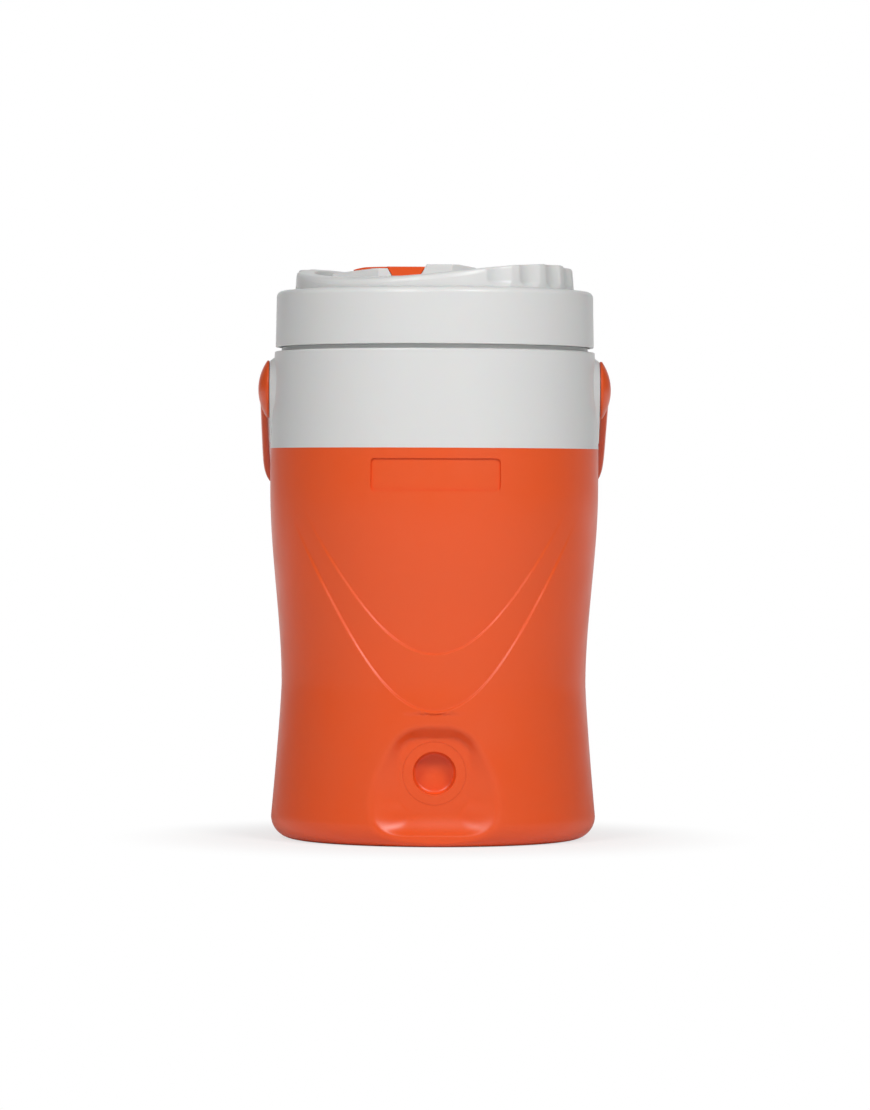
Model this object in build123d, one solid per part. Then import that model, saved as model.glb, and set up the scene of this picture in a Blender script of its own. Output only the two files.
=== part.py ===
from build123d import *

import os
from math import cos, hypot, pi, radians, sin

# Insulated drinks jug of about four litres, in millimetres.
# The origin is the centre of the base, +Z is up, the front with the tap socket faces -Y
# and +X is to the right of somebody who stands in front of it.

# ---------------------------------------------------------------- body
base_r = 94.8                # widest radius of the foot, just above its rounded edge
base_edge_r = 13.0           # rounding under the foot's widest point
waist_r = 88.9               # narrowest radius
waist_z = 90.0               # height of the waist
shoulder_r = 95.9            # radius from the shoulder up to the collar
shoulder_z = 204.0           # height where the wall becomes straight
shell_top_z = 227.5          # joint line between shell and collar
shell_wall = 3.0
shell_floor = 4.2            # thickness of the shell's base over its foot ring
foot_recess = 1.8            # height of the hollow between foot ring and centre pad
foot_ring_in_r = 70.0        # inner radius of the ring that the jug stands on
centre_pad_r = 28.0          # radius of the flat pad in the middle of the base

# ---------------------------------------------------------------- front of the shell
socket_r = 12.2              # bore of the blind tap socket
socket_z = 42.0              # height of the socket's axis
socket_depth = 8.0
socket_wall = 2.4
pad_depth = 12.5             # how far the flat pad around the socket lies inside the foot's radius
pad_half_w = 20.0
pad_low_z = 20.6             # height where the pad runs out into the flared foot of the niche
pad_high_z = 61.9
pad_corner = 9.5             # rounding of the pad's upper corners
lip_depth = 6.2              # how far the flat lip under the niche lies inside the foot's radius
lip_high_z = 6.7             # upper edge of the lip, where the flare ends
niche_reach = 3.2            # distance in front of the foot of the arched mouth given next
niche_half_w = 78.0          # half width of the mouth up to the height where its arch begins
niche_side_z = 24.0
niche_bow_x = 40.0           # middle of each side of the mouth's arch
niche_bow_z = 52.0
niche_top_half_w = 14.0      # flat top of the arch
niche_high_z = 79.0
niche_low_z = -8.0           # the niche is open downwards
relief_step = 0.8            # depth of each of the two curved ledges on the front
low_ledge_z = 77.4           # lowest point of the lower ledge
low_ledge_half_w = 84.0      # half width of the lower ledge where it runs out
high_ledge_z = 110.0
high_ledge_half_w = 76.0
relief_fade_z = 195.0        # height where both ledges run out
name_half_w = 37.0           # bare recessed panel under the collar
name_low_z = 203.0
name_high_z = 221.5
name_corner = 2.5
name_depth = 1.1

# ---------------------------------------------------------------- collar and neck
collar_h = 56.5
collar_draft = 2.4           # how much the collar draws in towards its top
collar_wall = 2.6
collar_edge_r = 1.0
spigot_length = 10.5         # how far the collar's rim reaches down into the shell
spigot_wall = 2.4
neck_h = 19.0
neck_wall = 2.8
neck_foot_h = 2.3            # plain ring at the foot of the neck
neck_foot_clear = 0.9        # clearance between that ring and the lid's skirt

# ---------------------------------------------------------------- liner
liner_wall = 2.0
throat_foam = 11.2           # foam between the neck and the liner's mouth
liner_draft = 3.0            # how much narrower the liner is at its floor than at its mouth
liner_floor_z = 20.0         # underside of the liner's floor
liner_edge_r = 16.0
flange_t = 2.4               # flange of the liner on top of the neck

# ---------------------------------------------------------------- thread
thread_pitch = 8.0
thread_h = 2.7               # height of the ridge over its root
thread_clear = 0.7           # clearance between a ridge's crest and the wall across from it
thread_root_w = 3.6
thread_crest_w = 1.8
thread_turns = 1.25
thread_start_h = 6.0         # height of the neck's ridge over the collar where it starts
thread_root_sink = 0.5       # how far the ridge is rooted in the wall behind it
thread_play = 0.35           # axial play on the flank that carries the lid's pull
lid_thread_turns = 1.0
lid_thread_lead = 0.7        # plain edge of the skirt under its ridge

# ---------------------------------------------------------------- lid
lid_gap = 2.5                # open groove between collar and lid
lid_inset = 0.5              # how far the skirt lies inside the collar's top
skirt_h = 33.2
skirt_draft = 0.6
skirt_wall = 2.6
skirt_edge_r = 3.5
skirt_foot_r = 0.7
deck_t = 2.9                 # shoulder of the skirt around the crown
deck_w = 10.7                # width of that shoulder
deck_fall = 0.8              # how much that shoulder falls towards its edge
rebate_depth = 1.5           # step in the shoulder that seats the crown
rebate_w = 3.3
crown_draft = 1.0            # how much the crown's wall draws in
crown_draft_h = 15.0         # height over which it does
crown_top_t = 2.6
crown_lip_w = 2.2            # ring that centres the crown inside the shoulder
crown_lip_h = 4.5
wave_rise = 9.3              # mean height of the crown's wavy rim over the shoulder
wave_h = 5.0                 # rise and fall of the rim about that mean
wave_angle = 57.0            # direction of the high rims, from the front towards the right
rim_w = 11.5                 # width of the rim around the dish
dish_depth = 3.1             # depth of the flat dish under the rim's mean height
dish_wall = 2.2              # thickness of the dish's side wall
flute_count = 5              # finger flutes on each of the two high rims
flute_pitch = 15.2
flute_cut_r = 20.0
flute_depth = 2.0
flute_tilt = 4.5
flute_foot = 2.0             # height of the flutes' lower ends over the shoulder
gasket_inset = 1.0           # how far the gasket's edge lies inside the neck
gasket_w = 11.4
gasket_t = 3.4
gasket_groove = 0.8          # depth of the groove that holds the gasket
cover_t = 2.4                # inner cover under the lid
cover_plug_clear = 4.5       # gap between the inner cover's plug and the liner's mouth
cover_plug_wall = 2.2
cover_plug_h = 12.0
fit_clear = 0.2

# ---------------------------------------------------------------- spout and cap
island_low_x = -60.0         # raised block in the dish that carries spout and cap
island_high_x = 24.0
island_half_d = 22.0
island_right_chamfer = 14.0
island_front_chamfer_x = 27.0   # long chamfer of the block's front left corner
island_front_chamfer_y = 20.0
island_back_chamfer = 13.0
island_rise = 3.1            # block around the cap, over the rim's mean height
island_slope_w = 24.0        # stretch over which the block's top falls towards the left
island_slope_h = 2.5
island_step = 2.4            # how much higher the block beside the cap is
island_drop = 1.4            # fall of that block's top towards the right
island_drop_x = 14.0         # where that fall starts
island_edge_r = 0.8
pocket_depth = 1.8           # how deep the cap's pocket is sunk into the block
pocket_wall = 2.6            # wall in front of the pocket
cap_left_x = -47.6
cap_right_x = -6.0           # edge of the cap beside the high block
cap_gap = 0.4
cap_lift = 0.2               # gap between the cap and the pocket's floor
cap_t = 2.6
cap_corner = 2.5
cap_edge_r = 1.5
cap_fall = 1.5               # how far the cap's top falls away at its left end
cap_fall_w = 8.5             # width of that fall
cap_inset = 0.4              # how far the tongue's front lies behind the block's front
tongue_x = -17.0             # finger tongue of the cap, in its notch
tongue_top_w = 22.2
tongue_low_w = 15.7
tongue_edge_r = 0.8
tongue_h = 3.0
tongue_gap = 0.3
spout_x = -22.0
spout_y = -1.0
spout_r = 10.0
spout_wall = 2.0
spout_drop = 1.3             # how far the spout's rim lies under the cap
spout_well_clear = 1.5
spout_well_depth = 1.1
spout_flange_w = 3.0
spout_flange_t = 1.6
spout_seal_t = 0.8
seal_lap = 0.4               # how far the cap's seal reaches past the spout's wall
seal_gap = 0.1
plug_clear = 0.5
plug_taper = 0.8
plug_h = 3.4
hinge_inset = 3.0            # hinge axis in front of the block's back
hinge_rise = 1.2             # hinge axis over the cap's underside
hinge_r = 2.0
hinge_w = 18.0
hinge_ear_w = 4.0
hinge_pin_r = 1.1
hinge_play = 0.05
hinge_clear = 0.7

# ---------------------------------------------------------------- handle
pivot_drop = 22.0            # handle's pivot axis under the collar's top
rest_angle = 62.0            # lean of the folded handle, from straight down towards the back
rest_gap = 1.0               # gap between the folded grip and the shell
lid_pass_gap = 3.0           # least gap between the grip and the lid's edge as it swings over
boss_r = 16.6                # round boss on the collar under each handle eye
boss_tail_r = 3.0            # small end of the boss, at its lower tip
boss_tail_lift = 3.5         # height of the boss's lower tip over the shell
boss_taper = 38.0            # how much the boss widens towards the collar
boss_stand = 0.3             # how far the boss stands out past the shell
stud_r = 6.05
stud_play = 0.05
stud_head_w = 1.15           # how far the stud's snap head stands out all round
stud_head_t = 3.0
stud_length = 9.8            # reach of the stud behind the boss's face
stud_head_play = 0.3
cup_wall = 2.4
eye_gap = 0.3
eye_r = 16.8
eye_rim_t = 1.3              # thickness of the eye at its thin edge
eye_t = 6.6                  # thickness of the eye in its middle
arm_gap = 1.0                # gap between an arm and the boss's face
arm_t = 4.9
arm_straight = 50.0          # straight stretch of each arm from the pivot
bow_square = 5.3             # how square the handle's bow is: 2 is an oval
grip_w = 12.5
bail_half_t = 7.0
bail_edge_r = 1.8

# ---------------------------------------------------------------- foam plug in the base
fill_y = 49.0
fill_r = 8.0
fill_flange_w = 3.0
fill_flange_t = 1.3
fill_stem_h = 4.2

# ---------------------------------------------------------------- sizes that follow from the others
collar_top_r = shoulder_r - collar_draft
collar_top_z = shell_top_z + collar_h
neck_top_z = collar_top_z + neck_h
flange_top_z = neck_top_z + flange_t
skirt_low_r = collar_top_r - lid_inset
skirt_high_r = skirt_low_r - skirt_draft
skirt_in_r = skirt_low_r - skirt_wall
skirt_low_z = collar_top_z + lid_gap
skirt_top_z = skirt_low_z + skirt_h
deck_low_z = skirt_top_z - deck_t
rebate_z = skirt_top_z - rebate_depth
neck_foot_r = skirt_in_r - neck_foot_clear
neck_r = skirt_in_r - thread_h - thread_clear
liner_high_r = neck_r - neck_wall - throat_foam
liner_low_r = liner_high_r - liner_draft
thread_start_z = collar_top_z + thread_start_h
crown_r = skirt_high_r - deck_w
dish_r = crown_r - rim_w
wave_z = skirt_top_z + wave_rise
gasket_out_r = neck_r - gasket_inset
gasket_in_r = gasket_out_r - gasket_w
cover_low_z = flange_top_z + gasket_t - gasket_groove
cover_top_z = cover_low_z + cover_t
cover_plug_r = liner_high_r - liner_wall - cover_plug_clear
dish_z = wave_z - dish_depth
dish_low_z = dish_z - crown_top_t
island_low_z = wave_z + island_rise
island_high_z = island_low_z + island_step
pocket_z = island_low_z - pocket_depth
cap_low_z = pocket_z + cap_lift
cap_top_z = cap_low_z + cap_t
cap_front_y = pocket_wall + cap_gap - island_half_d
tongue_front_y = cap_inset - island_half_d
flute_angle = wave_angle
hinge_x = (cap_left_x + cap_right_x) / 2
hinge_y = island_half_d - hinge_inset
hinge_z = cap_low_z + hinge_rise
spout_top_z = cap_low_z - spout_drop
seal_r = spout_r + spout_wall + seal_lap
pad_y = pad_depth - base_r
lip_y = lip_depth - base_r
niche_front_y = -base_r - niche_reach
pivot_z = collar_top_z - pivot_drop
boss_x = shoulder_r + boss_stand
boss_tail_z = shell_top_z + boss_tail_lift + boss_tail_r
stud_end_x = boss_x - stud_length
stud_head_r = stud_r + stud_head_w
arm_in_x = boss_x + arm_gap
lid_reach = hypot(skirt_low_r, skirt_top_z - pivot_z) + lid_pass_gap
rest_reach = (shoulder_r + rest_gap + bail_half_t * cos(radians(rest_angle))) / sin(radians(rest_angle))
grip_in_s = max(lid_reach, rest_reach)   # distance of the grip's inner edge from the pivot


def ring(points, roundings=()):
    """Solid of revolution about Z of an outline of (radius, height) points, with rounded corners."""
    section = make_face(Polyline(*points, close=True))
    for corner, radius in roundings:
        vertex = section.vertices().sort_by_distance(Vector(*corner))[0]
        section = fillet(vertex, radius)
    return revolve(Plane.XZ * section, Axis.Z)


def rod(radius, start, end, axis="Z", at=(0, 0)):
    """Cylinder along a main axis from start to end; at holds its two other coordinates."""
    length = end - start
    middle = (start + end) / 2
    place = {
        "X": Pos(middle, at[0], at[1]) * Rot(0, 90, 0),
        "Y": Pos(at[0], middle, at[1]) * Rot(90, 0, 0),
        "Z": Pos(at[0], at[1], middle),
    }[axis]
    return place * Cylinder(radius, abs(length))


def block(low, high):
    """Box between two opposite corners."""
    size = [b - a for a, b in zip(low, high)]
    centre = [(a + b) / 2 for a, b in zip(low, high)]
    return Pos(*centre) * Box(*size)


def mirrored(solid):
    """A solid and its mirror image on the other side of the jug."""
    return [solid, mirror(solid, about=Plane.YZ)]


# ---------------------------------------------------------------- body
def body_form(inset, floor_z, top_z):
    """The jug's waisted outside as one solid, moved inwards by inset."""
    lower = base_r - waist_r
    upper = shoulder_r - waist_r
    rise = shoulder_z - waist_z
    edge = base_edge_r - floor_z
    low_r = base_r - inset
    high_r = shoulder_r - inset
    side = Spline(
        (low_r, base_edge_r),
        (waist_r + 0.53 * lower - inset, waist_z * 0.5),
        (waist_r - inset, waist_z),
        (waist_r + 0.31 * upper - inset, waist_z + rise * 0.35),
        (waist_r + 0.8 * upper - inset, waist_z + rise * 0.71),
        (high_r, shoulder_z),
        tangents=[(0, 1), (0, 1)],
    )
    outline = Curve() + [
        Line((0, floor_z), (low_r - edge, floor_z)),
        CenterArc((low_r - edge, base_edge_r), edge, -90, 90),
        side,
        Line((high_r, shoulder_z), (high_r, top_z)),
        Line((high_r, top_z), (0, top_z)),
        Line((0, top_z), (0, floor_z)),
    ]
    return revolve(Plane.XZ * make_face(outline), Axis.Z)


def niche_outline(y, half_w, side_z, bow, corner):
    """Arched outline in the plane at y, with the same six edges at every depth. Each side's arc
    runs from side_z through bow to corner, both given as (x, z)."""
    def at(x, z):
        return Vector(x, y, z)

    return Wire([
        Line(at(-half_w, niche_low_z), at(half_w, niche_low_z)).edge(),
        Line(at(half_w, niche_low_z), at(half_w, side_z)).edge(),
        ThreePointArc(at(half_w, side_z), at(*bow), at(*corner)).edge(),
        Line(at(*corner), at(-corner[0], corner[1])).edge(),
        ThreePointArc(at(-corner[0], corner[1]), at(-bow[0], bow[1]), at(-half_w, side_z)).edge(),
        Line(at(-half_w, side_z), at(-half_w, niche_low_z)).edge(),
    ])


def niche_front(grow):
    """Everything in front of the pad, the flare under it and the lip, moved back by grow."""
    back, lip, top = pad_y + grow, lip_y + grow, 1.2 * niche_high_z
    front = 1.2 * niche_front_y
    outline = Curve() + [
        Line((back, top), (back, pad_low_z)),
        TangentArc((back, pad_low_z), (lip, lip_high_z), tangent=(0, -1)),
        Line((lip, lip_high_z), (lip, 2 * niche_low_z)),
        Line((lip, 2 * niche_low_z), (front, 2 * niche_low_z)),
        Line((front, 2 * niche_low_z), (front, top)),
        Line((front, top), (back, top)),
    ]
    return extrude(Plane.YZ * make_face(outline), amount=base_r, both=True)


def tap_niche(grow):
    """Tool for the scooped niche around the tap socket, grown all round by grow."""
    round_x = pad_half_w - pad_corner
    round_z = pad_high_z - pad_corner
    turn = pad_corner * sin(radians(45)) + grow
    pad = niche_outline(
        pad_y + grow, pad_half_w + grow, round_z,
        (round_x + turn, round_z + turn), (round_x, pad_high_z + grow),
    )
    mouth = niche_outline(
        niche_front_y, niche_half_w + grow, niche_side_z,
        (niche_bow_x + grow, niche_bow_z + grow), (niche_top_half_w, niche_high_z + grow),
    )
    return Solid.make_loft([pad, mouth], ruled=True) & niche_front(grow)


def relief_region(foot_z, half_w, rise):
    """Prism over the front of the body above a parabola that opens upwards."""
    top_z = foot_z + rise
    outline = Curve() + [
        Bezier((-half_w, top_z), (0, foot_z - rise), (half_w, top_z)),
        Line((half_w, top_z), (-half_w, top_z)),
    ]
    return extrude(Plane.XZ * make_face(outline), amount=2 * shoulder_r)


def relief_core(depth):
    """Body of revolution under the surface by depth, which comes out through it at the fade height."""
    lower = base_r - waist_r
    upper = shoulder_r - waist_r
    rise = shoulder_z - waist_z
    out = 0.4 * relief_step
    side = Spline(
        (waist_r + 0.53 * lower - depth, waist_z * 0.5),
        (waist_r - depth, waist_z),
        (waist_r + 0.31 * upper - depth, waist_z + rise * 0.35),
        (waist_r + 0.8 * upper - depth / 2, waist_z + rise * 0.71),
        (shoulder_r + out, relief_fade_z + 0.5 * (shoulder_z - relief_fade_z)),
        (shoulder_r + out, shell_top_z),
    )
    low_z = waist_z * 0.5
    outline = Curve() + [
        side,
        Line((shoulder_r + out, shell_top_z), (0, shell_top_z)),
        Line((0, shell_top_z), (0, low_z)),
        Line((0, low_z), (waist_r + 0.53 * lower - depth, low_z)),
    ]
    return revolve(Plane.XZ * make_face(outline), Axis.Z)


def relief_cut(foot_z, half_w, depth):
    """What one curved ledge takes off the front of the shell."""
    return relief_region(foot_z, half_w, relief_fade_z - foot_z) - relief_core(depth)


def name_cut():
    """Shallow rounded panel under the collar, left bare."""
    middle = (name_low_z + name_high_z) / 2
    panel = RectangleRounded(2 * name_half_w, name_high_z - name_low_z, name_corner)
    prism = Pos(0, 0, middle) * extrude(Plane.XZ * panel, amount=2 * shoulder_r)
    return prism - rod(shoulder_r - name_depth, 0, shell_top_z)


def tap_socket(radius, depth):
    """Cylinder of the tap socket, from in front of the body to depth behind the pad."""
    return rod(radius, niche_front_y, pad_y + depth, "Y", (0, socket_z))


def inner_form():
    """Space inside the shell, which goes around the niche and the back of the socket."""
    space = body_form(shell_wall, shell_floor, shell_top_z + 1)
    space -= tap_niche(shell_wall)
    return space - tap_socket(socket_r + socket_wall, socket_depth + socket_wall)


def fill_hole():
    return rod(fill_r, -1, shell_floor + 1, "Z", (0, fill_y))


def outer_shell(space):
    shell = body_form(0, 0, shell_top_z)
    shell -= tap_niche(0)
    shell -= tap_socket(socket_r, socket_depth)
    shell -= relief_cut(low_ledge_z, low_ledge_half_w, relief_step)
    shell -= relief_cut(high_ledge_z, high_ledge_half_w, 2 * relief_step)
    shell -= name_cut()
    shell -= ring([
        (centre_pad_r, -1), (foot_ring_in_r, -1),
        (foot_ring_in_r, foot_recess), (centre_pad_r, foot_recess),
    ])
    shell -= space
    return shell - fill_hole()


def foam_fill_plug():
    flange_z = foot_recess - fill_flange_t
    plug = rod(fill_r + fill_flange_w, flange_z, foot_recess, "Z", (0, fill_y))
    return plug + rod(fill_r, foot_recess, foot_recess + fill_stem_h, "Z", (0, fill_y))


# ---------------------------------------------------------------- collar
def thread_ridge(root_r, inwards, start_z, start_angle, turns):
    """One right-handed ridge that stands on a wall of radius root_r."""
    side = -1 if inwards else 1
    path = Helix(thread_pitch, thread_pitch * turns, root_r)
    section = Plane.XZ * make_face(Polyline(
        (root_r - side * thread_root_sink, -thread_root_w / 2),
        (root_r, -thread_root_w / 2),
        (root_r + side * thread_h, -thread_crest_w / 2),
        (root_r + side * thread_h, thread_crest_w / 2),
        (root_r, thread_root_w / 2),
        (root_r - side * thread_root_sink, thread_root_w / 2),
        close=True,
    ))
    ridge = sweep(section, path, is_frenet=True)
    return Pos(0, 0, start_z) * Rot(0, 0, start_angle) * ridge


def pivot_cup():
    """Drop-shaped boss on the collar with the closed cup behind it that takes a stud of the handle."""
    at = (0, pivot_z)
    cup_r = stud_head_r + stud_head_play + cup_wall
    inside_x = collar_top_r - collar_wall
    drop = make_hull([
        *(Pos(0, pivot_z) * Circle(boss_r)).edges(),
        *(Pos(0, boss_tail_z) * Circle(boss_tail_r)).edges(),
    ])
    boss = extrude(Plane.YZ.offset(boss_x) * drop, amount=inside_x - boss_x, taper=-boss_taper)
    back_x = stud_end_x - stud_head_play - cup_wall
    return boss + rod(cup_r, back_x, inside_x + cup_wall / 2, "X", at)


def pivot_bore():
    """Bore and undercut for a stud of the handle."""
    at = (0, pivot_z)
    cut = rod(stud_r + stud_play, stud_end_x, boss_x + boss_stand, "X", at)
    head_in = stud_end_x - stud_head_play
    head_out = stud_end_x + stud_head_t + stud_head_play
    return cut + rod(stud_head_r + stud_head_play, head_in, head_out, "X", at)


def collar():
    spigot_out_r = shoulder_r - shell_wall
    spigot_in_r = spigot_out_r - spigot_wall
    ledge_z = shell_top_z + collar_wall
    roof_z = collar_top_z - collar_wall
    body = ring([
        (spigot_out_r, shell_top_z - spigot_length),
        (spigot_out_r, shell_top_z),
        (shoulder_r, shell_top_z),
        (collar_top_r, collar_top_z),
        (neck_foot_r, collar_top_z),
        (neck_foot_r, collar_top_z + neck_foot_h),
        (neck_r, collar_top_z + neck_foot_h),
        (neck_r, neck_top_z),
        (neck_r - neck_wall, neck_top_z),
        (neck_r - neck_wall, roof_z),
        (collar_top_r - collar_wall, roof_z),
        (shoulder_r - collar_wall, ledge_z),
        (spigot_in_r, ledge_z),
        (spigot_in_r, shell_top_z - spigot_length),
    ], roundings=[((collar_top_r, collar_top_z), collar_edge_r)])
    for cup in mirrored(pivot_cup()):
        body += cup
    for bore in mirrored(pivot_bore()):
        body -= bore
    return body + thread_ridge(neck_r, False, thread_start_z, 0, thread_turns)


def inner_liner():
    slope = (liner_high_r - liner_low_r) / (neck_top_z - liner_floor_z)
    in_floor = liner_floor_z + liner_wall
    outside = ring([
        (0, liner_floor_z), (liner_low_r, liner_floor_z), (liner_high_r, neck_top_z),
        (neck_r, neck_top_z), (neck_r, flange_top_z), (0, flange_top_z),
    ], roundings=[((liner_low_r, liner_floor_z), liner_edge_r)])
    mouth_r = liner_high_r - liner_wall
    inside = ring([
        (0, in_floor), (liner_low_r - liner_wall, in_floor),
        (mouth_r + slope * 2 * flange_t, neck_top_z + 2 * flange_t), (0, neck_top_z + 2 * flange_t),
    ], roundings=[((liner_low_r - liner_wall, in_floor), liner_edge_r - liner_wall)])
    return outside - inside


def liner_form():
    """The liner without its hollow and its flange."""
    return ring([
        (0, liner_floor_z), (liner_low_r, liner_floor_z), (liner_high_r, neck_top_z),
        (liner_high_r, neck_top_z + 1), (0, neck_top_z + 1),
    ], roundings=[((liner_low_r, liner_floor_z), liner_edge_r)])


def body_foam(space):
    spigot_low_z = shell_top_z - spigot_length
    spigot_in_r = shoulder_r - shell_wall - spigot_wall
    ledge_z = shell_top_z + collar_wall
    roof_z = collar_top_z - collar_wall
    foam = space & rod(shoulder_r + 1, -1, spigot_low_z)
    foam += ring([
        (0, spigot_low_z - 1), (spigot_in_r, spigot_low_z - 1), (spigot_in_r, ledge_z),
        (shoulder_r - collar_wall, ledge_z), (collar_top_r - collar_wall, roof_z),
        (neck_r - neck_wall, roof_z), (neck_r - neck_wall, neck_top_z), (0, neck_top_z),
    ])
    foam -= liner_form()
    for cup in mirrored(pivot_cup()):
        foam -= cup
    return foam - rod(fill_r + fit_clear, 0, foot_recess + fill_stem_h + fit_clear, "Z", (0, fill_y))


# ---------------------------------------------------------------- lid
def above_wave(middle_z):
    """Everything above the saddle that waves the crown's top, with its mean at middle_z."""
    reach = 1.2 * skirt_low_r
    height = wave_h * (reach / crown_r) ** 2
    steps = (-1, 0, 1)
    grid = [
        [
            Vector(i * reach, j * reach, middle_z + height * ((1, -1, 1)[i + 1] - (1, -1, 1)[j + 1]))
            for j in steps
        ]
        for i in steps
    ]
    saddle = Face.make_bezier_surface(grid)
    return Rot(0, 0, wave_angle - 90) * extrude(saddle, amount=60, dir=(0, 0, 1))


def lid_skirt():
    skirt = ring([
        (skirt_in_r, skirt_low_z),
        (skirt_low_r, skirt_low_z),
        (skirt_high_r, skirt_top_z - deck_fall),
        (crown_r + fit_clear, skirt_top_z),
        (crown_r + fit_clear, rebate_z),
        (crown_r - rebate_w, rebate_z),
        (crown_r - rebate_w, deck_low_z),
        (skirt_in_r, deck_low_z),
    ], roundings=[
        ((skirt_high_r, skirt_top_z - deck_fall), skirt_edge_r),
        ((skirt_low_r, skirt_low_z), skirt_foot_r),
    ])
    drop = (thread_root_w + thread_crest_w) / 2 + thread_play
    start_z = skirt_low_z + lid_thread_lead + thread_root_w / 2
    turn = 360 * (start_z + drop - thread_start_z) / thread_pitch
    return skirt + thread_ridge(skirt_in_r, True, start_z, turn, lid_thread_turns)


def island_plan():
    """Eight-sided plan of the raised block."""
    front = -island_half_d
    back = island_half_d
    cut = island_right_chamfer
    return make_face(Polyline(
        (island_low_x + island_front_chamfer_x, front), (island_high_x - cut, front),
        (island_high_x, front + cut), (island_high_x, back - cut), (island_high_x - cut, back),
        (island_low_x + island_back_chamfer, back), (island_low_x, back - island_back_chamfer),
        (island_low_x, front + island_front_chamfer_y),
        close=True,
    ))


def island_block():
    """Raised block in the dish: low and sloping around the cap, higher to the right of it."""
    depth = 2 * island_half_d
    floor = dish_low_z
    step_x = cap_right_x + cap_gap
    slope_x = island_low_x + island_slope_w
    low_side = Plane.XZ * make_face(Polyline(
        (island_low_x, floor), (island_high_x, floor), (island_high_x, island_low_z),
        (slope_x, island_low_z), (island_low_x, island_low_z - island_slope_h),
        close=True,
    ))
    high_side = Plane.XZ * make_face(Polyline(
        (step_x, floor), (island_high_x, floor), (island_high_x, island_high_z - island_drop),
        (island_drop_x, island_high_z), (step_x, island_high_z),
        close=True,
    ))
    plan = Pos(0, 0, floor) * island_plan()
    form = extrude(plan, amount=island_high_z - floor)
    low = form & extrude(low_side, amount=depth, both=True)
    high = form & extrude(high_side, amount=depth, both=True)
    top_edges = high.edges().filter_by(
        lambda edge: edge.bounding_box().min.Z > island_high_z - 1.5 * island_drop
        and edge.bounding_box().min.X > step_x - 1 and edge.length > 1
    )
    return low + fillet(top_edges, island_edge_r)


def cap_plan(grow):
    """Plan of the cap, which follows the block's long chamfer, grown all round by grow."""
    inset = pocket_wall + cap_gap - grow
    rise = island_front_chamfer_y / island_front_chamfer_x
    lean = hypot(island_front_chamfer_x, island_front_chamfer_y) / island_front_chamfer_x
    left = cap_left_x - grow
    right = cap_right_x + grow
    front = inset - island_half_d
    corner_x = island_low_x + island_front_chamfer_x

    def chamfer_y(x):
        return -island_half_d + (corner_x - x) * rise + inset * lean

    corner_left = corner_x - (front + island_half_d - inset * lean) / rise
    plan = make_face(Polyline(
        (corner_left, front), (right, front), (right, hinge_y + grow), (left, hinge_y + grow),
        (left, chamfer_y(left)),
        close=True,
    ))
    return fillet(plan.vertices(), cap_corner)


def flute(angle):
    """Leaning cylinder that scoops one finger flute out of the crown's wall."""
    axis_r = crown_r - crown_draft - flute_depth + flute_cut_r
    half_h = wave_rise + wave_h - flute_foot
    place = Rot(0, 0, angle - 90) * Pos(axis_r, 0, wave_z + wave_h) * Rot(0, -flute_tilt, 0)
    return place * Cylinder(flute_cut_r, 2 * half_h)


def notch(grow):
    """Trapezoid prism of the cap's finger tongue, grown all round by grow."""
    low_z = cap_low_z - tongue_h
    outline = make_face(Polyline(
        (tongue_x - tongue_low_w / 2 - grow, low_z - grow), (tongue_x + tongue_low_w / 2 + grow, low_z - grow),
        (tongue_x + tongue_top_w / 2 + grow, cap_top_z), (tongue_x - tongue_top_w / 2 - grow, cap_top_z),
        close=True,
    ))
    back_y = cap_front_y + cap_corner + grow
    return Pos(0, back_y, 0) * extrude(Plane.XZ * outline, amount=back_y - tongue_front_y + grow)


def hinge_knuckle(radius, low_x, high_x):
    return rod(radius, low_x, high_x, "X", (hinge_y, hinge_z))


def lid_crown():
    draft = crown_draft / crown_draft_h
    roof = wave_z + 2 * wave_h
    lip_out_r = crown_r - rebate_w - fit_clear
    crown = ring([
        (0, rebate_z), (crown_r, rebate_z), (crown_r - draft * (roof - rebate_z), roof), (0, roof),
    ]) - above_wave(wave_z)
    for side in (0, 180):
        for index in range(flute_count):
            crown -= flute(flute_angle + side + (index - (flute_count - 1) / 2) * flute_pitch)
    crown -= rod(dish_r, dish_z, roof)
    crown += rod(dish_r + dish_wall, dish_low_z, dish_z)
    crown += rod(lip_out_r, rebate_z - crown_lip_h, rebate_z)
    core = rod(lip_out_r - crown_lip_w, rebate_z - crown_lip_h - 1, roof)
    core -= above_wave(wave_z - crown_top_t)
    crown -= core - rod(dish_r + dish_wall, dish_low_z, roof)
    crown += island_block()
    half_w = hinge_w / 2
    for side in (-1, 1):
        inner = hinge_x + side * (half_w + cap_gap)
        outer = inner + side * hinge_ear_w
        crown += hinge_knuckle(hinge_r, min(inner, outer), max(inner, outer))
    crown -= extrude(Pos(0, 0, pocket_z) * cap_plan(cap_gap), amount=roof - pocket_z)
    crown -= rod(seal_r + spout_well_clear, spout_top_z - spout_well_depth, roof, "Z", (spout_x, spout_y))
    crown -= rod(spout_r + spout_wall, dish_low_z - 1, roof, "Z", (spout_x, spout_y))
    crown -= notch(tongue_gap) + Pos(0, -tongue_h, 0) * notch(tongue_gap)
    crown -= block(
        (hinge_x - half_w - cap_gap, hinge_y - hinge_r - hinge_clear, hinge_z - hinge_r - hinge_clear),
        (hinge_x + half_w + cap_gap, island_half_d + hinge_inset, roof),
    )
    reach = half_w + cap_gap + hinge_ear_w + 1
    return crown - hinge_knuckle(hinge_pin_r, hinge_x - reach, hinge_x + reach)


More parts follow.
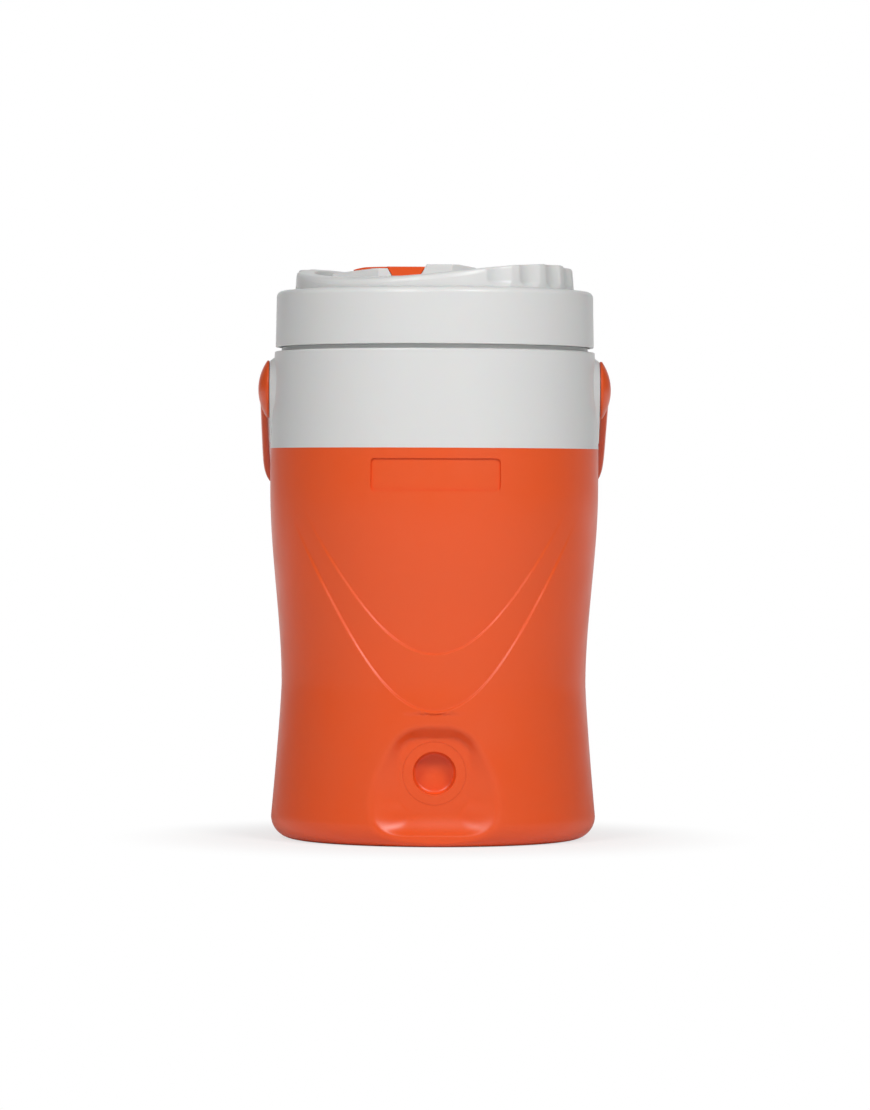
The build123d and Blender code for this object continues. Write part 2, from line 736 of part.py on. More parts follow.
def lid_inner_cover():
    plug_low_z = cover_low_z - cover_plug_h
    plug_in_r = cover_plug_r - cover_plug_wall
    cover = ring([
        (0, plug_low_z), (cover_plug_r, plug_low_z), (cover_plug_r, cover_low_z),
        (gasket_in_r, cover_low_z), (gasket_in_r, cover_low_z + gasket_groove),
        (gasket_out_r, cover_low_z + gasket_groove), (gasket_out_r, cover_low_z),
        (skirt_in_r, cover_low_z), (skirt_in_r, cover_top_z), (plug_in_r, cover_top_z),
        (plug_in_r, plug_low_z + cover_plug_wall), (0, plug_low_z + cover_plug_wall),
    ])
    return cover - rod(spout_r + spout_wall, plug_low_z - 1, cover_top_z, "Z", (spout_x, spout_y))


def lid_foam():
    plug_in_r = cover_plug_r - cover_plug_wall
    plug_floor_z = cover_low_z - cover_plug_h + cover_plug_wall
    lip_low_z = rebate_z - crown_lip_h - fit_clear
    well_r = crown_r - rebate_w - fit_clear - crown_lip_w - fit_clear
    foam = ring([
        (0, plug_floor_z), (plug_in_r, plug_floor_z), (plug_in_r, cover_top_z),
        (skirt_in_r, cover_top_z), (skirt_in_r, lip_low_z), (well_r, lip_low_z),
        (well_r, dish_low_z - fit_clear), (0, dish_low_z - fit_clear),
    ])
    foam -= above_wave(wave_z - crown_top_t - fit_clear)
    return foam - rod(spout_r + spout_wall, plug_floor_z - 1, wave_z, "Z", (spout_x, spout_y))


def lid_gasket():
    top_z = flange_top_z + gasket_t
    return ring([
        (gasket_in_r, flange_top_z), (gasket_out_r, flange_top_z),
        (gasket_out_r, top_z), (gasket_in_r, top_z),
    ])


def spout_tube():
    """Tube through the lid, with a flange that holds it under the inner cover."""
    at = (spout_x, spout_y)
    seat_z = cover_low_z - cover_plug_h - spout_seal_t
    tube = rod(spout_r + spout_wall, seat_z - spout_flange_t, spout_top_z, "Z", at)
    tube += rod(spout_r + spout_wall + spout_flange_w, seat_z - spout_flange_t, seat_z, "Z", at)
    return tube - rod(spout_r, seat_z - 2 * spout_flange_t, spout_top_z + 1, "Z", at)


def spout_seal():
    at = (spout_x, spout_y)
    top_z = cover_low_z - cover_plug_h
    washer = rod(spout_r + spout_wall + spout_flange_w, top_z - spout_seal_t, top_z, "Z", at)
    return washer - rod(spout_r + spout_wall, top_z - 2 * spout_seal_t, top_z + 1, "Z", at)


def spout_cap():
    """Flip cap with a finger tongue at the front and a knuckle at the back."""
    cap = extrude(Pos(0, 0, cap_low_z) * cap_plan(0), amount=cap_t)
    cap = fillet(cap.faces().sort_by(Axis.Z)[-1].edges(), cap_edge_r)
    fall_end = (cap_left_x, cap_top_z - cap_fall)
    fall_start = (cap_left_x + cap_fall_w, cap_top_z)
    fall_middle = (cap_left_x + cap_fall_w / 2, cap_top_z - 0.3 * cap_fall)
    past = (cap_left_x, cap_top_z + 1)
    fallen = make_face(ThreePointArc(fall_end, fall_middle, fall_start) + Polyline(
        fall_start, (cap_left_x + cap_fall_w, cap_top_z + 1), past, fall_end))
    cap -= extrude(Plane.XZ * fallen, amount=island_half_d, both=True)
    tongue = notch(0)
    tongue = fillet(tongue.faces().sort_by(Axis.Y)[0].edges().sort_by(Axis.Z)[-1], tongue_edge_r)
    side_cut = hinge_y - hinge_r - hinge_clear - cap_gap
    half_w = hinge_w / 2
    for low_x, high_x in ((cap_left_x - 1, hinge_x - half_w), (hinge_x + half_w, cap_right_x + 1)):
        cap -= block((low_x, side_cut, cap_low_z - 1), (high_x, hinge_y + 1, cap_top_z + 1))
    cap += hinge_knuckle(hinge_r, hinge_x - half_w, hinge_x + half_w)
    cap += tongue
    return cap - hinge_knuckle(hinge_pin_r + hinge_play, hinge_x - half_w - 1, hinge_x + half_w + 1)


def cap_seal():
    """Silicone disc with a tapered plug that closes the spout."""
    disc_low_z = spout_top_z + seal_gap
    disc = rod(seal_r, disc_low_z, cap_low_z, "Z", (spout_x, spout_y))
    top_r = spout_r - plug_clear
    plug = Cone(top_r - plug_taper, top_r, plug_h)
    return disc + Pos(spout_x, spout_y, disc_low_z - plug_h / 2) * plug


def cap_hinge_pin():
    reach = hinge_w / 2 + cap_gap + hinge_ear_w
    return hinge_knuckle(hinge_pin_r, hinge_x - reach, hinge_x + reach)


# ---------------------------------------------------------------- handle
def bow_line(half_w, reach):
    """Quarter of a squared oval, from the end of an arm's straight stretch to the grip's middle."""
    power = 2 / bow_square
    depth = reach - arm_straight
    turns = [pi / 2 * step / 8 for step in range(9)]
    points = [
        (half_w * cos(turn) ** power, -arm_straight - depth * sin(turn) ** power) for turn in turns[:-1]
    ]
    return Spline(*points, (0, -reach), tangents=[(0, -1), (-1, 0)])


def bail_bow():
    """The handle's two arms and grip, hanging straight down from the pivot."""
    arm_out_x = arm_in_x + arm_t
    grip_out_s = grip_in_s + grip_w
    outline = Curve() + [
        Line((arm_in_x, 0), (arm_out_x, 0)),
        Line((arm_out_x, 0), (arm_out_x, -arm_straight)),
        bow_line(arm_out_x, grip_out_s),
        Line((0, -grip_out_s), (0, -grip_in_s)),
        bow_line(arm_in_x, grip_in_s),
        Line((arm_in_x, -arm_straight), (arm_in_x, 0)),
    ]
    half = extrude(Plane.XZ * make_face(outline), amount=bail_half_t, both=True)
    bow = half + mirror(half, about=Plane.YZ)
    return fillet(bow.edges().filter_by(lambda edge: edge.length > 2 * arm_t), bail_edge_r)


def bail_eye():
    """Lens-shaped eye of the handle with its snap-in stud, on the right side."""
    low_x = boss_x + eye_gap
    rim_x = low_x + eye_rim_t
    high_x = low_x + eye_t
    dome = eye_t - eye_rim_t
    lens = make_face(Curve() + [
        Line((low_x, 0), (low_x, eye_r)),
        Line((low_x, eye_r), (rim_x, eye_r)),
        ThreePointArc((rim_x, eye_r), (rim_x + 0.76 * dome, eye_r / 2), (high_x, 0)),
        Line((high_x, 0), (low_x, 0)),
    ])
    eye = revolve(lens, Axis.X)
    eye += rod(stud_r, stud_end_x, rim_x, "X")
    return eye + rod(stud_head_r, stud_end_x, stud_end_x + stud_head_t, "X")


def handle_bail():
    bail = bail_bow()
    for eye in mirrored(bail_eye()):
        bail += eye
    return Pos(0, 0, pivot_z) * Rot(rest_angle, 0, 0) * bail


def main():
    space = inner_form()
    nodes = {
        "outer_shell": outer_shell(space),
        "foam_fill_plug": foam_fill_plug(),
        "body_foam": body_foam(space),
        "inner_liner": inner_liner(),
        "collar": collar(),
        "lid_skirt": lid_skirt(),
        "lid_crown": lid_crown(),
        "lid_inner_cover": lid_inner_cover(),
        "lid_foam": lid_foam(),
        "lid_gasket": lid_gasket(),
        "spout_tube": spout_tube(),
        "spout_seal": spout_seal(),
        "spout_cap": spout_cap(),
        "cap_seal": cap_seal(),
        "cap_hinge_pin": cap_hinge_pin(),
        "handle_bail": handle_bail(),
    }
    os.makedirs("parts", exist_ok=True)
    for name, shape in nodes.items():
        export_step(shape, f"parts/{name}.step")


main()
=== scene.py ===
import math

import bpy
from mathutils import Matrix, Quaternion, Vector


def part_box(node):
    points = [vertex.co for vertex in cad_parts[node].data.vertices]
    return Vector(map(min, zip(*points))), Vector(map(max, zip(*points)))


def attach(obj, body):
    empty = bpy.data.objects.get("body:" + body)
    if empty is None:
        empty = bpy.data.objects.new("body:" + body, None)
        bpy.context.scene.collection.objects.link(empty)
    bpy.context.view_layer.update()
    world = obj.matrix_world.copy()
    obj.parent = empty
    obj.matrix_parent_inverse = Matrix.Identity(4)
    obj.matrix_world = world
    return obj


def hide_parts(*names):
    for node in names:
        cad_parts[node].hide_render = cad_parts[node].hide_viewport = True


bl_info = {
    "name": "Insulated Drinks Jug",
    "version": (1, 0, 0),
    "blender": (4, 5, 0),
    "location": "View3D > Sidebar > Drinks Jug",
    "description": "Dresses the construction model of an insulated drinks jug",
    "category": "Add Mesh",
}

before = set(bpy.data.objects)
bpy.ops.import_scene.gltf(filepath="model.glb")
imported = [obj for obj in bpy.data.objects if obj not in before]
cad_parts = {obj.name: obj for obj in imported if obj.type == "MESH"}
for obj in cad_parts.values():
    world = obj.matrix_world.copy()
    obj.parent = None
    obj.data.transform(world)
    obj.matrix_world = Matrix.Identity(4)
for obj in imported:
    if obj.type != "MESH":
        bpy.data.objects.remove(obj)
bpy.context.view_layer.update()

MM = 0.001
MERGE_DISTANCE = 2e-6        # points closer than this are one
ARC_STEPS = 6                # stretches of a rounded corner
PAST = 9.0                   # how far a cutting tool reaches past what it cuts
SHELL_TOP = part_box("outer_shell")[1][2] / MM


# ------------------------------------------------------------------ sizes and colours
class JugShellSizes(bpy.types.PropertyGroup):
    """Sizes of the moulded body, in millimetres."""
    base_radius: bpy.props.FloatProperty(
        name="Base radius", description="Widest radius of the foot", default=94.8)
    edge_radius: bpy.props.FloatProperty(
        name="Foot rounding", description="Rounding under the foot", default=13.0)
    waist_radius: bpy.props.FloatProperty(
        name="Waist radius", description="Narrowest radius", default=88.9)
    waist_height: bpy.props.FloatProperty(
        name="Waist height", description="Height of the narrowest place", default=90.0)
    shoulder_radius: bpy.props.FloatProperty(
        name="Shoulder radius", description="Radius below the collar", default=95.9)
    shoulder_height: bpy.props.FloatProperty(
        name="Shoulder height", description="Height where the wall becomes straight", default=204.0)
    wall: bpy.props.FloatProperty(
        name="Wall", description="Thickness of the moulded shell", default=3.0)
    ledge_depth: bpy.props.FloatProperty(
        name="Ledge depth", description="Depth of each curved ledge on the front", default=1.2)
    ledge_width: bpy.props.FloatProperty(
        name="Ledge width", description="Width of each ledge's rounded step", default=1.5)
    panel_depth: bpy.props.FloatProperty(
        name="Panel depth", description="Depth of the bare panel under the collar", default=1.1)


class JugLidSizes(bpy.types.PropertyGroup):
    """Sizes of the lid's crown, in millimetres and degrees."""
    crown_radius: bpy.props.FloatProperty(
        name="Crown radius", description="Radius at the foot of the crown", default=81.7)
    wave_mean: bpy.props.FloatProperty(
        name="Rim height", description="Mean height of the wavy rim", default=329.0)
    wave_height: bpy.props.FloatProperty(
        name="Wave height", description="Rise and fall of the rim", default=5.0)
    wave_angle: bpy.props.FloatProperty(
        name="Wave angle", description="Direction of the high rims", default=57.0)
    flute_depth: bpy.props.FloatProperty(
        name="Flute depth", description="Depth of the finger flutes at the rim", default=2.0)
    flute_pitch: bpy.props.FloatProperty(
        name="Flute pitch", description="Angle from flute to flute", default=15.2)
    dish_radius: bpy.props.FloatProperty(
        name="Dish radius", description="Radius of the flat dish inside the rim", default=70.2)
    dish_height: bpy.props.FloatProperty(
        name="Dish height", description="Height of the dish's floor", default=325.9)


class JugHandleSizes(bpy.types.PropertyGroup):
    """Sizes of the bail handle, in millimetres and degrees."""
    arm_inside: bpy.props.FloatProperty(
        name="Arm inside", description="Half the distance between the arms", default=97.2)
    arm_thickness: bpy.props.FloatProperty(
        name="Arm thickness", description="Thickness of each arm", default=4.9)
    straight: bpy.props.FloatProperty(
        name="Straight", description="Straight stretch of each arm", default=50.0)
    grip_inside: bpy.props.FloatProperty(
        name="Grip inside", description="Distance of the grip's inner edge from the pivot",
        default=113.5)
    grip_thickness: bpy.props.FloatProperty(
        name="Grip thickness", description="Thickness of the grip", default=12.5)
    half_width: bpy.props.FloatProperty(
        name="Half width", description="Half the width of the handle's band", default=7.0)
    lean: bpy.props.FloatProperty(
        name="Lean", description="Lean of the folded handle towards the back", default=62.0)


class JugColours(bpy.types.PropertyGroup):
    """Colours of the mouldings, as sRGB hex values."""
    orange: bpy.props.StringProperty(
        name="Orange", description="Body, cap and handle", default="F0571B")
    white: bpy.props.StringProperty(
        name="White", description="Collar and lid", default="DFE0E0")
    silicone: bpy.props.StringProperty(
        name="Silicone", description="Seals", default="D8D8D4")
    foam: bpy.props.StringProperty(
        name="Foam", description="Insulation", default="E6D9A8")


# ------------------------------------------------------------------ small helpers
def ease(value, low, high):
    """Smooth step of value from 0 at low to 1 at high."""
    t = min(1.0, max(0.0, (value - low) / (high - low)))
    return t * t * (3 - 2 * t)


def soft_min(a, b, soft):
    """The smaller of two values, with the corner between them rounded off."""
    blend = max(0.0, soft - abs(a - b)) / soft
    return min(a, b) - blend * blend * soft / 4


def deselect():
    if bpy.context.object and bpy.context.object.mode == "EDIT":
        bpy.ops.object.mode_set(mode="OBJECT")
    bpy.ops.object.select_all(action="DESELECT")


def activate(piece):
    deselect()
    piece.select_set(True)
    bpy.context.view_layer.objects.active = piece


def edit_all(piece):
    activate(piece)
    bpy.ops.object.mode_set(mode="EDIT")
    bpy.ops.mesh.select_all(action="SELECT")


def close_up(piece):
    """Merges seams and poles and turns all faces outwards."""
    edit_all(piece)
    bpy.ops.mesh.remove_doubles(threshold=MERGE_DISTANCE)
    bpy.ops.mesh.normals_make_consistent(inside=False)
    bpy.ops.object.mode_set(mode="OBJECT")


def smooth(piece, degrees=32):
    activate(piece)
    bpy.ops.object.shade_smooth_by_angle(angle=math.radians(degrees))


def modify(piece, kind, **settings):
    """Adds a modifier with its settings and applies it."""
    activate(piece)
    modifier = piece.modifiers.new(kind.title(), kind)
    for name, value in settings.items():
        setattr(modifier, name, value)
    bpy.ops.object.modifier_apply(modifier=modifier.name)


def combine(piece, tool, operation):
    """Boolean of a piece with a tool, which is then thrown away."""
    modify(piece, "BOOLEAN", object=tool, operation=operation, solver="EXACT")
    bpy.data.objects.remove(tool)


def wrapped_grid(name, columns, rows, rule):
    """A grid laid over the closed surface that rule(u, row) gives in millimetres."""
    deselect()
    bpy.ops.mesh.primitive_grid_add(x_subdivisions=columns, y_subdivisions=rows, size=2)
    piece = bpy.context.object
    piece.name = name
    for vertex in piece.data.vertices:
        u = (vertex.co.x + 1) / 2
        row = round((vertex.co.y + 1) / 2 * rows)
        vertex.co = Vector(rule(u, row)) * MM
    close_up(piece)
    return piece


def rounded(points, radii):
    """The outline through points, with the corners in radii (index: radius) turned into arcs."""
    outline = []
    count = len(points)
    for index, point in enumerate(points):
        here = Vector(point)
        radius = radii.get(index, 0)
        if radius == 0:
            outline.append(here)
            continue
        back = (Vector(points[index - 1]) - here).normalized()
        ahead = (Vector(points[(index + 1) % count]) - here).normalized()
        half = back.angle(ahead) / 2
        reach = radius / math.tan(half)
        centre = here + (back + ahead).normalized() * radius / math.sin(half)
        start = here + back * reach - centre
        end = here + ahead * reach - centre
        sweep = start.angle(end)
        for step in range(ARC_STEPS + 1):
            part = step / ARC_STEPS
            a = math.sin((1 - part) * sweep) / math.sin(sweep)
            b = math.sin(part * sweep) / math.sin(sweep)
            outline.append(centre + start * a + end * b)
    return outline


def traced(places):
    """Begins a piece as a closed wire through places, all selected in edit mode."""
    deselect()
    bpy.ops.mesh.primitive_plane_add(size=MM, enter_editmode=True)
    bpy.ops.mesh.select_all(action="SELECT")
    bpy.ops.mesh.merge(type="CENTER")
    bpy.ops.transform.translate(value=places[0])
    for start, end in zip(places, places[1:] + places[:1]):
        bpy.ops.mesh.extrude_region_move(TRANSFORM_OT_translate={"value": end - start})
    bpy.ops.mesh.select_all(action="SELECT")


def finished(name):
    """Ends the piece in edit mode: names it and closes its surface."""
    bpy.ops.object.mode_set(mode="OBJECT")
    piece = bpy.context.object
    piece.name = name
    close_up(piece)
    return piece


def turned(name, outline, steps, axis="Z", centre=(0, 0, 0)):
    """A closed outline of (radius, height) points, in millimetres, spun about an axis through
    centre."""
    to_place = {
        "Z": lambda r, h: Vector((r, 0, h)),
        "Y": lambda r, h: Vector((r, h, 0)),
        "X": lambda r, h: Vector((h, r, 0)),
    }[axis]
    traced([(to_place(p[0], p[1]) + Vector(centre)) * MM for p in outline])
    direction = {"X": (1, 0, 0), "Y": (0, 1, 0), "Z": (0, 0, 1)}[axis]
    bpy.ops.mesh.spin(steps=steps, angle=2 * math.pi, center=Vector(centre) * MM, axis=direction)
    return finished(name)


def prism(name, outline, axis, low, high):
    """A flat outline pushed out along Y or Z from low to high, in millimetres."""
    to_place = {
        "Y": lambda a, b, c: Vector((a, c, b)),
        "Z": lambda a, b, c: Vector((a, b, c)),
    }[axis]
    traced([to_place(p[0], p[1], low) * MM for p in outline])
    bpy.ops.mesh.remove_doubles(threshold=MERGE_DISTANCE)
    bpy.ops.mesh.edge_face_add()
    bpy.ops.mesh.extrude_region_move(
        TRANSFORM_OT_translate={"value": to_place(0, 0, high - low) * MM})
    return finished(name)


def bevel(piece, width, segments, degrees):
    modify(piece, "BEVEL", width=width * MM, segments=segments, limit_method="ANGLE",
           angle_limit=math.radians(degrees), harden_normals=False)


def place_piece(piece, body, material, node):
    """Gives a finished piece its material, slot and body, and lets it stand for its CAD node."""
    piece.data.materials.clear()
    piece.data.materials.append(material)
    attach(piece, body)
    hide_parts(node)


# ------------------------------------------------------------------ materials
CLOUD_SCALE = 28.0           # per metre: clouds of colour some centimetres across
FOAM_CELL, FOAM_PIT = 1.2, 0.4         # millimetres
STEEL_COLOUR = "C9C9C6"
STEEL_LINES = (20.0, 900.0, 900.0)     # per metre: drawn out along the wire


def linear(code):
    """Linear colour of an sRGB hex value."""
    channels = [int(code[i:i + 2], 16) / 255 for i in (0, 2, 4)]
    return tuple(
        c / 12.92 if c <= 0.04045 else ((c + 0.055) / 1.055) ** 2.4 for c in channels) + (1,)


def add_node(tree, kind, settings=(), inputs=(), links=()):
    """Adds a node with its settings, socket values and incoming links."""
    node = tree.nodes.new(kind)
    for name, value in dict(settings).items():
        setattr(node, name, value)
    for name, value in dict(inputs).items():
        node.inputs[name].default_value = value
    for socket, source in links:
        tree.links.new(source, node.inputs[socket])
    return node


def blank_material(name):
    material = bpy.data.materials.new(name)
    material.use_nodes = True
    material.node_tree.nodes.clear()
    return material, material.node_tree


def moulded_plastic(name, colour, shade, roughness, grain_mm, bump_mm, subsurface):
    """Injection- or blow-moulded plastic: a satin skin with a fine orange-peel texture.
    The peel is about grain_mm across, and the colour clouds very slightly over some centimetres."""
    material, tree = blank_material(name)
    place = add_node(tree, "ShaderNodeTexCoord").outputs["Object"]
    peel = add_node(
        tree, "ShaderNodeTexNoise",
        inputs={"Scale": 1 / (grain_mm * MM), "Detail": 3.0, "Roughness": 0.55},
        links=[("Vector", place)])
    cloud = add_node(
        tree, "ShaderNodeTexNoise", inputs={"Scale": CLOUD_SCALE, "Detail": 3.0},
        links=[("Vector", place)])
    tint = add_node(
        tree, "ShaderNodeMix", settings={"data_type": "RGBA"},
        links=[("Factor", cloud.outputs["Fac"])])
    tint.inputs["A"].default_value = linear(colour)
    tint.inputs["B"].default_value = linear(shade)
    wear = add_node(
        tree, "ShaderNodeMapRange",
        inputs={"From Min": 0.35, "From Max": 0.7,
                "To Min": roughness - 0.03, "To Max": roughness + 0.05},
        links=[("Value", cloud.outputs["Fac"])])
    bump = add_node(
        tree, "ShaderNodeBump", inputs={"Strength": 0.5, "Distance": bump_mm * MM},
        links=[("Height", peel.outputs["Fac"])])
    surface = add_node(
        tree, "ShaderNodeBsdfPrincipled",
        inputs={"IOR": 1.5, "Subsurface Weight": subsurface, "Subsurface Scale": 0.004},
        links=[("Base Color", tint.outputs["Result"]), ("Roughness", wear.outputs["Result"]),
               ("Normal", bump.outputs["Normal"])])
    add_node(tree, "ShaderNodeOutputMaterial", links=[("Surface", surface.outputs["BSDF"])])
    return material


def rigid_foam(name, colour):
    """Poured polyurethane foam: matt, pale yellow, with cells of about a millimetre."""
    material, tree = blank_material(name)
    place = add_node(tree, "ShaderNodeTexCoord").outputs["Object"]
    cells = add_node(
        tree, "ShaderNodeTexVoronoi", inputs={"Scale": 1 / (FOAM_CELL * MM)},
        links=[("Vector", place)])
    bump = add_node(
        tree, "ShaderNodeBump", inputs={"Strength": 0.6, "Distance": FOAM_PIT * MM},
        links=[("Height", cells.outputs["Distance"])])
    surface = add_node(
        tree, "ShaderNodeBsdfPrincipled",
        inputs={"Base Color": linear(colour), "Roughness": 0.9, "IOR": 1.45},
        links=[("Normal", bump.outputs["Normal"])])
    add_node(tree, "ShaderNodeOutputMaterial", links=[("Surface", surface.outputs["BSDF"])])
    return material


def drawn_steel(name):
    """Stainless hinge wire, drawn through a die: bright, with fine lines along it."""
    material, tree = blank_material(name)
    place = add_node(tree, "ShaderNodeTexCoord").outputs["Object"]
    along = add_node(
        tree, "ShaderNodeMapping", inputs={"Scale": STEEL_LINES}, links=[("Vector", place)])
    lines = add_node(
        tree, "ShaderNodeTexNoise", inputs={"Scale": 3.0, "Detail": 2.0},
        links=[("Vector", along.outputs["Vector"])])
    bump = add_node(
        tree, "ShaderNodeBump", inputs={"Strength": 0.2, "Distance": 0.02 * MM},
        links=[("Height", lines.outputs["Fac"])])
    surface = add_node(
        tree, "ShaderNodeBsdfPrincipled",
        inputs={"Base Color": linear(STEEL_COLOUR), "Metallic": 1.0, "Roughness": 0.3},
        links=[("Normal", bump.outputs["Normal"])])
    add_node(tree, "ShaderNodeOutputMaterial", links=[("Surface", surface.outputs["BSDF"])])
    return material


# name; a colour of the group or its own sRGB value; the shade it clouds into; roughness; grain and
# bump in millimetres; subsurface weight
PLASTICS = {
    "shell": ("Blow-moulded orange polyethylene", "orange", "EC5A26", 0.36, 1.4, 0.035, 0.06),
    "trim": ("Injection-moulded orange polypropylene", "orange", "EC5A26", 0.33, 1.0, 0.02, 0.06),
    "white": ("Injection-moulded white polypropylene", "white", "E0E0DE", 0.34, 1.2, 0.02, 0.08),
    "liner": ("Blow-moulded white polyethylene", "EDEDE8", "E6E6E0", 0.4, 1.6, 0.03, 0.1),
    "silicone": ("Moulded silicone rubber", "silicone", "CFCFCA", 0.55, 0.8, 0.02, 0.15),
}
FOAM_NAME, STEEL_NAME = "Poured polyurethane foam", "Drawn stainless steel"


def jug_material(key):
    """The material of that key, made when it is first asked for."""
    colours = bpy.context.scene.jug_colours
    name = {"foam": FOAM_NAME, "steel": STEEL_NAME}.get(key) or PLASTICS[key][0]
    if name in bpy.data.materials:
        return bpy.data.materials[name]
    if key == "foam":
        return rigid_foam(name, colours.foam)
    if key == "steel":
        return drawn_steel(name)
    colour, *rest = PLASTICS[key][1:]
    return moulded_plastic(name, getattr(colours, colour, colour), *rest)


# ------------------------------------------------------------------ body shell
FRONT_SPAN = 64.0            # degrees each side of the front with closely spaced columns
FRONT_SHARE = 0.64           # share of the columns that lie there
PAD_Y = 82.3                 # distance of the tap pad's plane from the jug's axis
PAD_HALF = 20.0
PAD_LOW, PAD_HIGH = 20.6, 61.9
PAD_CORNER = 9.5             # rounding of the pad's upper corners
PAD_DRAW_IN = 5.5            # how much narrower the pad is at its lower edge
PAD_DRAW_FROM, PAD_DRAW_OVER = 7.0, 9.0   # height above that edge where it begins, and its length
LIP_Y = 88.6                 # plane of the flat lip under the niche
FLARE_R = 18.48              # curve between pad and lip
LIP_SOFT, NICHE_SOFT = 1.0, 1.7           # softness of the lip's edge and of the niche's edge
ARCH_TOP, ARCH_GAIN, ARCH_SPREAD = 28.3, 1.1, 3.6   # arch straight up, then what it gains beside
ARCH_BESIDE = 58.0           # degrees from straight up where the arch begins to spread
SIDE_HALF, SIDE_SPREAD, SIDE_BEND, SIDE_FALL = 32.95, 0.42, 0.0122, 34.0   # niche's lower sides
SOCKET_Z = 42.0
SOCKET_R = 12.2
SOCKET_DEPTH = 8.0
SOCKET_WALL = 2.4
CUP_INSET = 1.5              # how far the socket's wall begins behind the pad's plane
SOCKET_BEVEL = 0.35          # bevel of the socket's mouth
SOCKET_FLOOR_R = 2.6         # rounding around its floor
WITNESS_R = 18.0             # fine line around the socket
WITNESS_HALF, WITNESS_SLOPE, WITNESS_DEPTH = 0.05, 0.25, 0.28
NICHE_BACK, NICHE_HALF, NICHE_TOP = 70.0, 46.0, 76.0      # the niche lies within these
CENTRE_PAD_R, FOOT_RING_R, FOOT_RECESS = 28.0, 70.0, 1.8  # underside: pad, ring and hollow
FOOT_ROWS = (0, 0.1, 0.4, 0.9, 1.5, 2.2, 3.0, 3.8, 4.6, 5.3, 5.9, 6.3, 6.7, 7.1, 7.6, 8.4, 9.4,
             10.6, 11.8)     # heights of the rows around the foot's rounding
LOW_ROWS, MIDDLE_ROWS, HIGH_ROWS = 70, 13, 28             # rows below, between and above the ledges
LEDGES = ((77.4, 60.0, 197.0), (110.0, 68.0, 201.0))      # foot, spread and top of each parabola
LEDGE_R = 95.0               # radius on which the ledges' sideways places are taken
LEDGE_TURN = 75.0            # degrees from the front beyond which a ledge stays level
LEDGE_SOFT = 10.0            # how softly a ledge levels out at its top
LEDGE_FADE = (117.0, 200.0)  # heights between which the ledges run out
LEDGE_AROUND = (50.0, 62.0)  # degrees from the front between which they run out
LEDGE_PARTS = (-0.65, -0.5, -0.33, -0.16, 0, 0.16, 0.33, 0.5, 0.65)   # rows across a ledge
PANEL_HALF, PANEL_LOW, PANEL_HIGH, PANEL_CORNER = 37.0, 203.0, 221.5, 2.5
SHELL_COLUMNS = 248


def body_radius(sizes, z):
    """Radius of the plain waisted body at a height."""
    if z <= sizes.waist_height:
        t = (sizes.waist_height - z) / (sizes.waist_height - sizes.edge_radius)
        return sizes.waist_radius + (sizes.base_radius - sizes.waist_radius) * t ** 1.2
    rise = ease(z, sizes.waist_height, sizes.shoulder_height)
    return sizes.waist_radius + (sizes.shoulder_radius - sizes.waist_radius) * rise


def ledge_height(x, foot, spread, top):
    """Height of a curved ledge at a sideways place: a parabola that runs out level at its top."""
    return soft_min(foot + x * x / spread, top, LEDGE_SOFT)


def arch_reach(turn):
    """Distance of the niche's arch from the socket's axis, at an angle in degrees from straight
    up."""
    beside = max(0.0, (turn - ARCH_BESIDE) / (90 - ARCH_BESIDE)) ** 2.2
    return ARCH_TOP + ARCH_GAIN * ease(turn, 0, 30) + ARCH_SPREAD * beside


def arch_half(z):
    """Half width of the niche below the socket's axis."""
    down = min(SOCKET_Z - z, SIDE_FALL)
    return SIDE_HALF + SIDE_SPREAD * down - SIDE_BEND * down * down


def pad_reach(dx, dz):
    """Distance of the pad's edge from the socket's axis in an upward direction."""
    high = PAD_HIGH - SOCKET_Z
    flat_x, flat_z = PAD_HALF - PAD_CORNER, high - PAD_CORNER
    if dx * high <= dz * flat_x:
        return high / dz
    if dz * PAD_HALF <= dx * flat_z:
        return PAD_HALF / dx
    along = flat_x * dx + flat_z * dz
    return along + math.sqrt(along ** 2 - flat_x ** 2 - flat_z ** 2 + PAD_CORNER ** 2)


def pad_half(z):
    """Half width of the tap pad below the socket's axis, drawn in around its lower corners."""
    return PAD_HALF - PAD_DRAW_IN * ease(PAD_LOW + PAD_DRAW_FROM - z, 0, PAD_DRAW_OVER)


def side_rise(sizes, x, z):
    """How far the sloping surface beside and above the tap pad lies in front of it."""
    x = abs(x)
    if z > SOCKET_Z:
        reach = math.hypot(x, z - SOCKET_Z)
        dx, dz = x / reach, (z - SOCKET_Z) / reach
        inner, outer = pad_reach(dx, dz), arch_reach(math.degrees(math.atan2(dx, dz)))
        edge_x, edge_z = outer * dx, SOCKET_Z + outer * dz
    else:
        reach, inner, outer = x, pad_half(z), arch_half(z)
        edge_x, edge_z = outer, z
    edge_r = body_radius(sizes, max(edge_z, sizes.edge_radius))
    edge_y = math.sqrt(edge_r ** 2 - edge_x ** 2)
    return max(0.0, (edge_y - PAD_Y) * (reach - inner) / (outer - inner))


def flare_rise(z):
    """How far the flare under the tap pad lies in front of it."""
    down = max(0.0, PAD_LOW - z)
    return FLARE_R - math.sqrt(max(0.0, FLARE_R ** 2 - down ** 2))


def pressed_in(sizes, x, front, z):
    """Distance of the surface in front of the axis once the niche is pressed into the body."""
    rise = math.hypot(side_rise(sizes, x, z), flare_rise(z))
    return soft_min(front, soft_min(PAD_Y + rise, LIP_Y, LIP_SOFT), NICHE_SOFT)


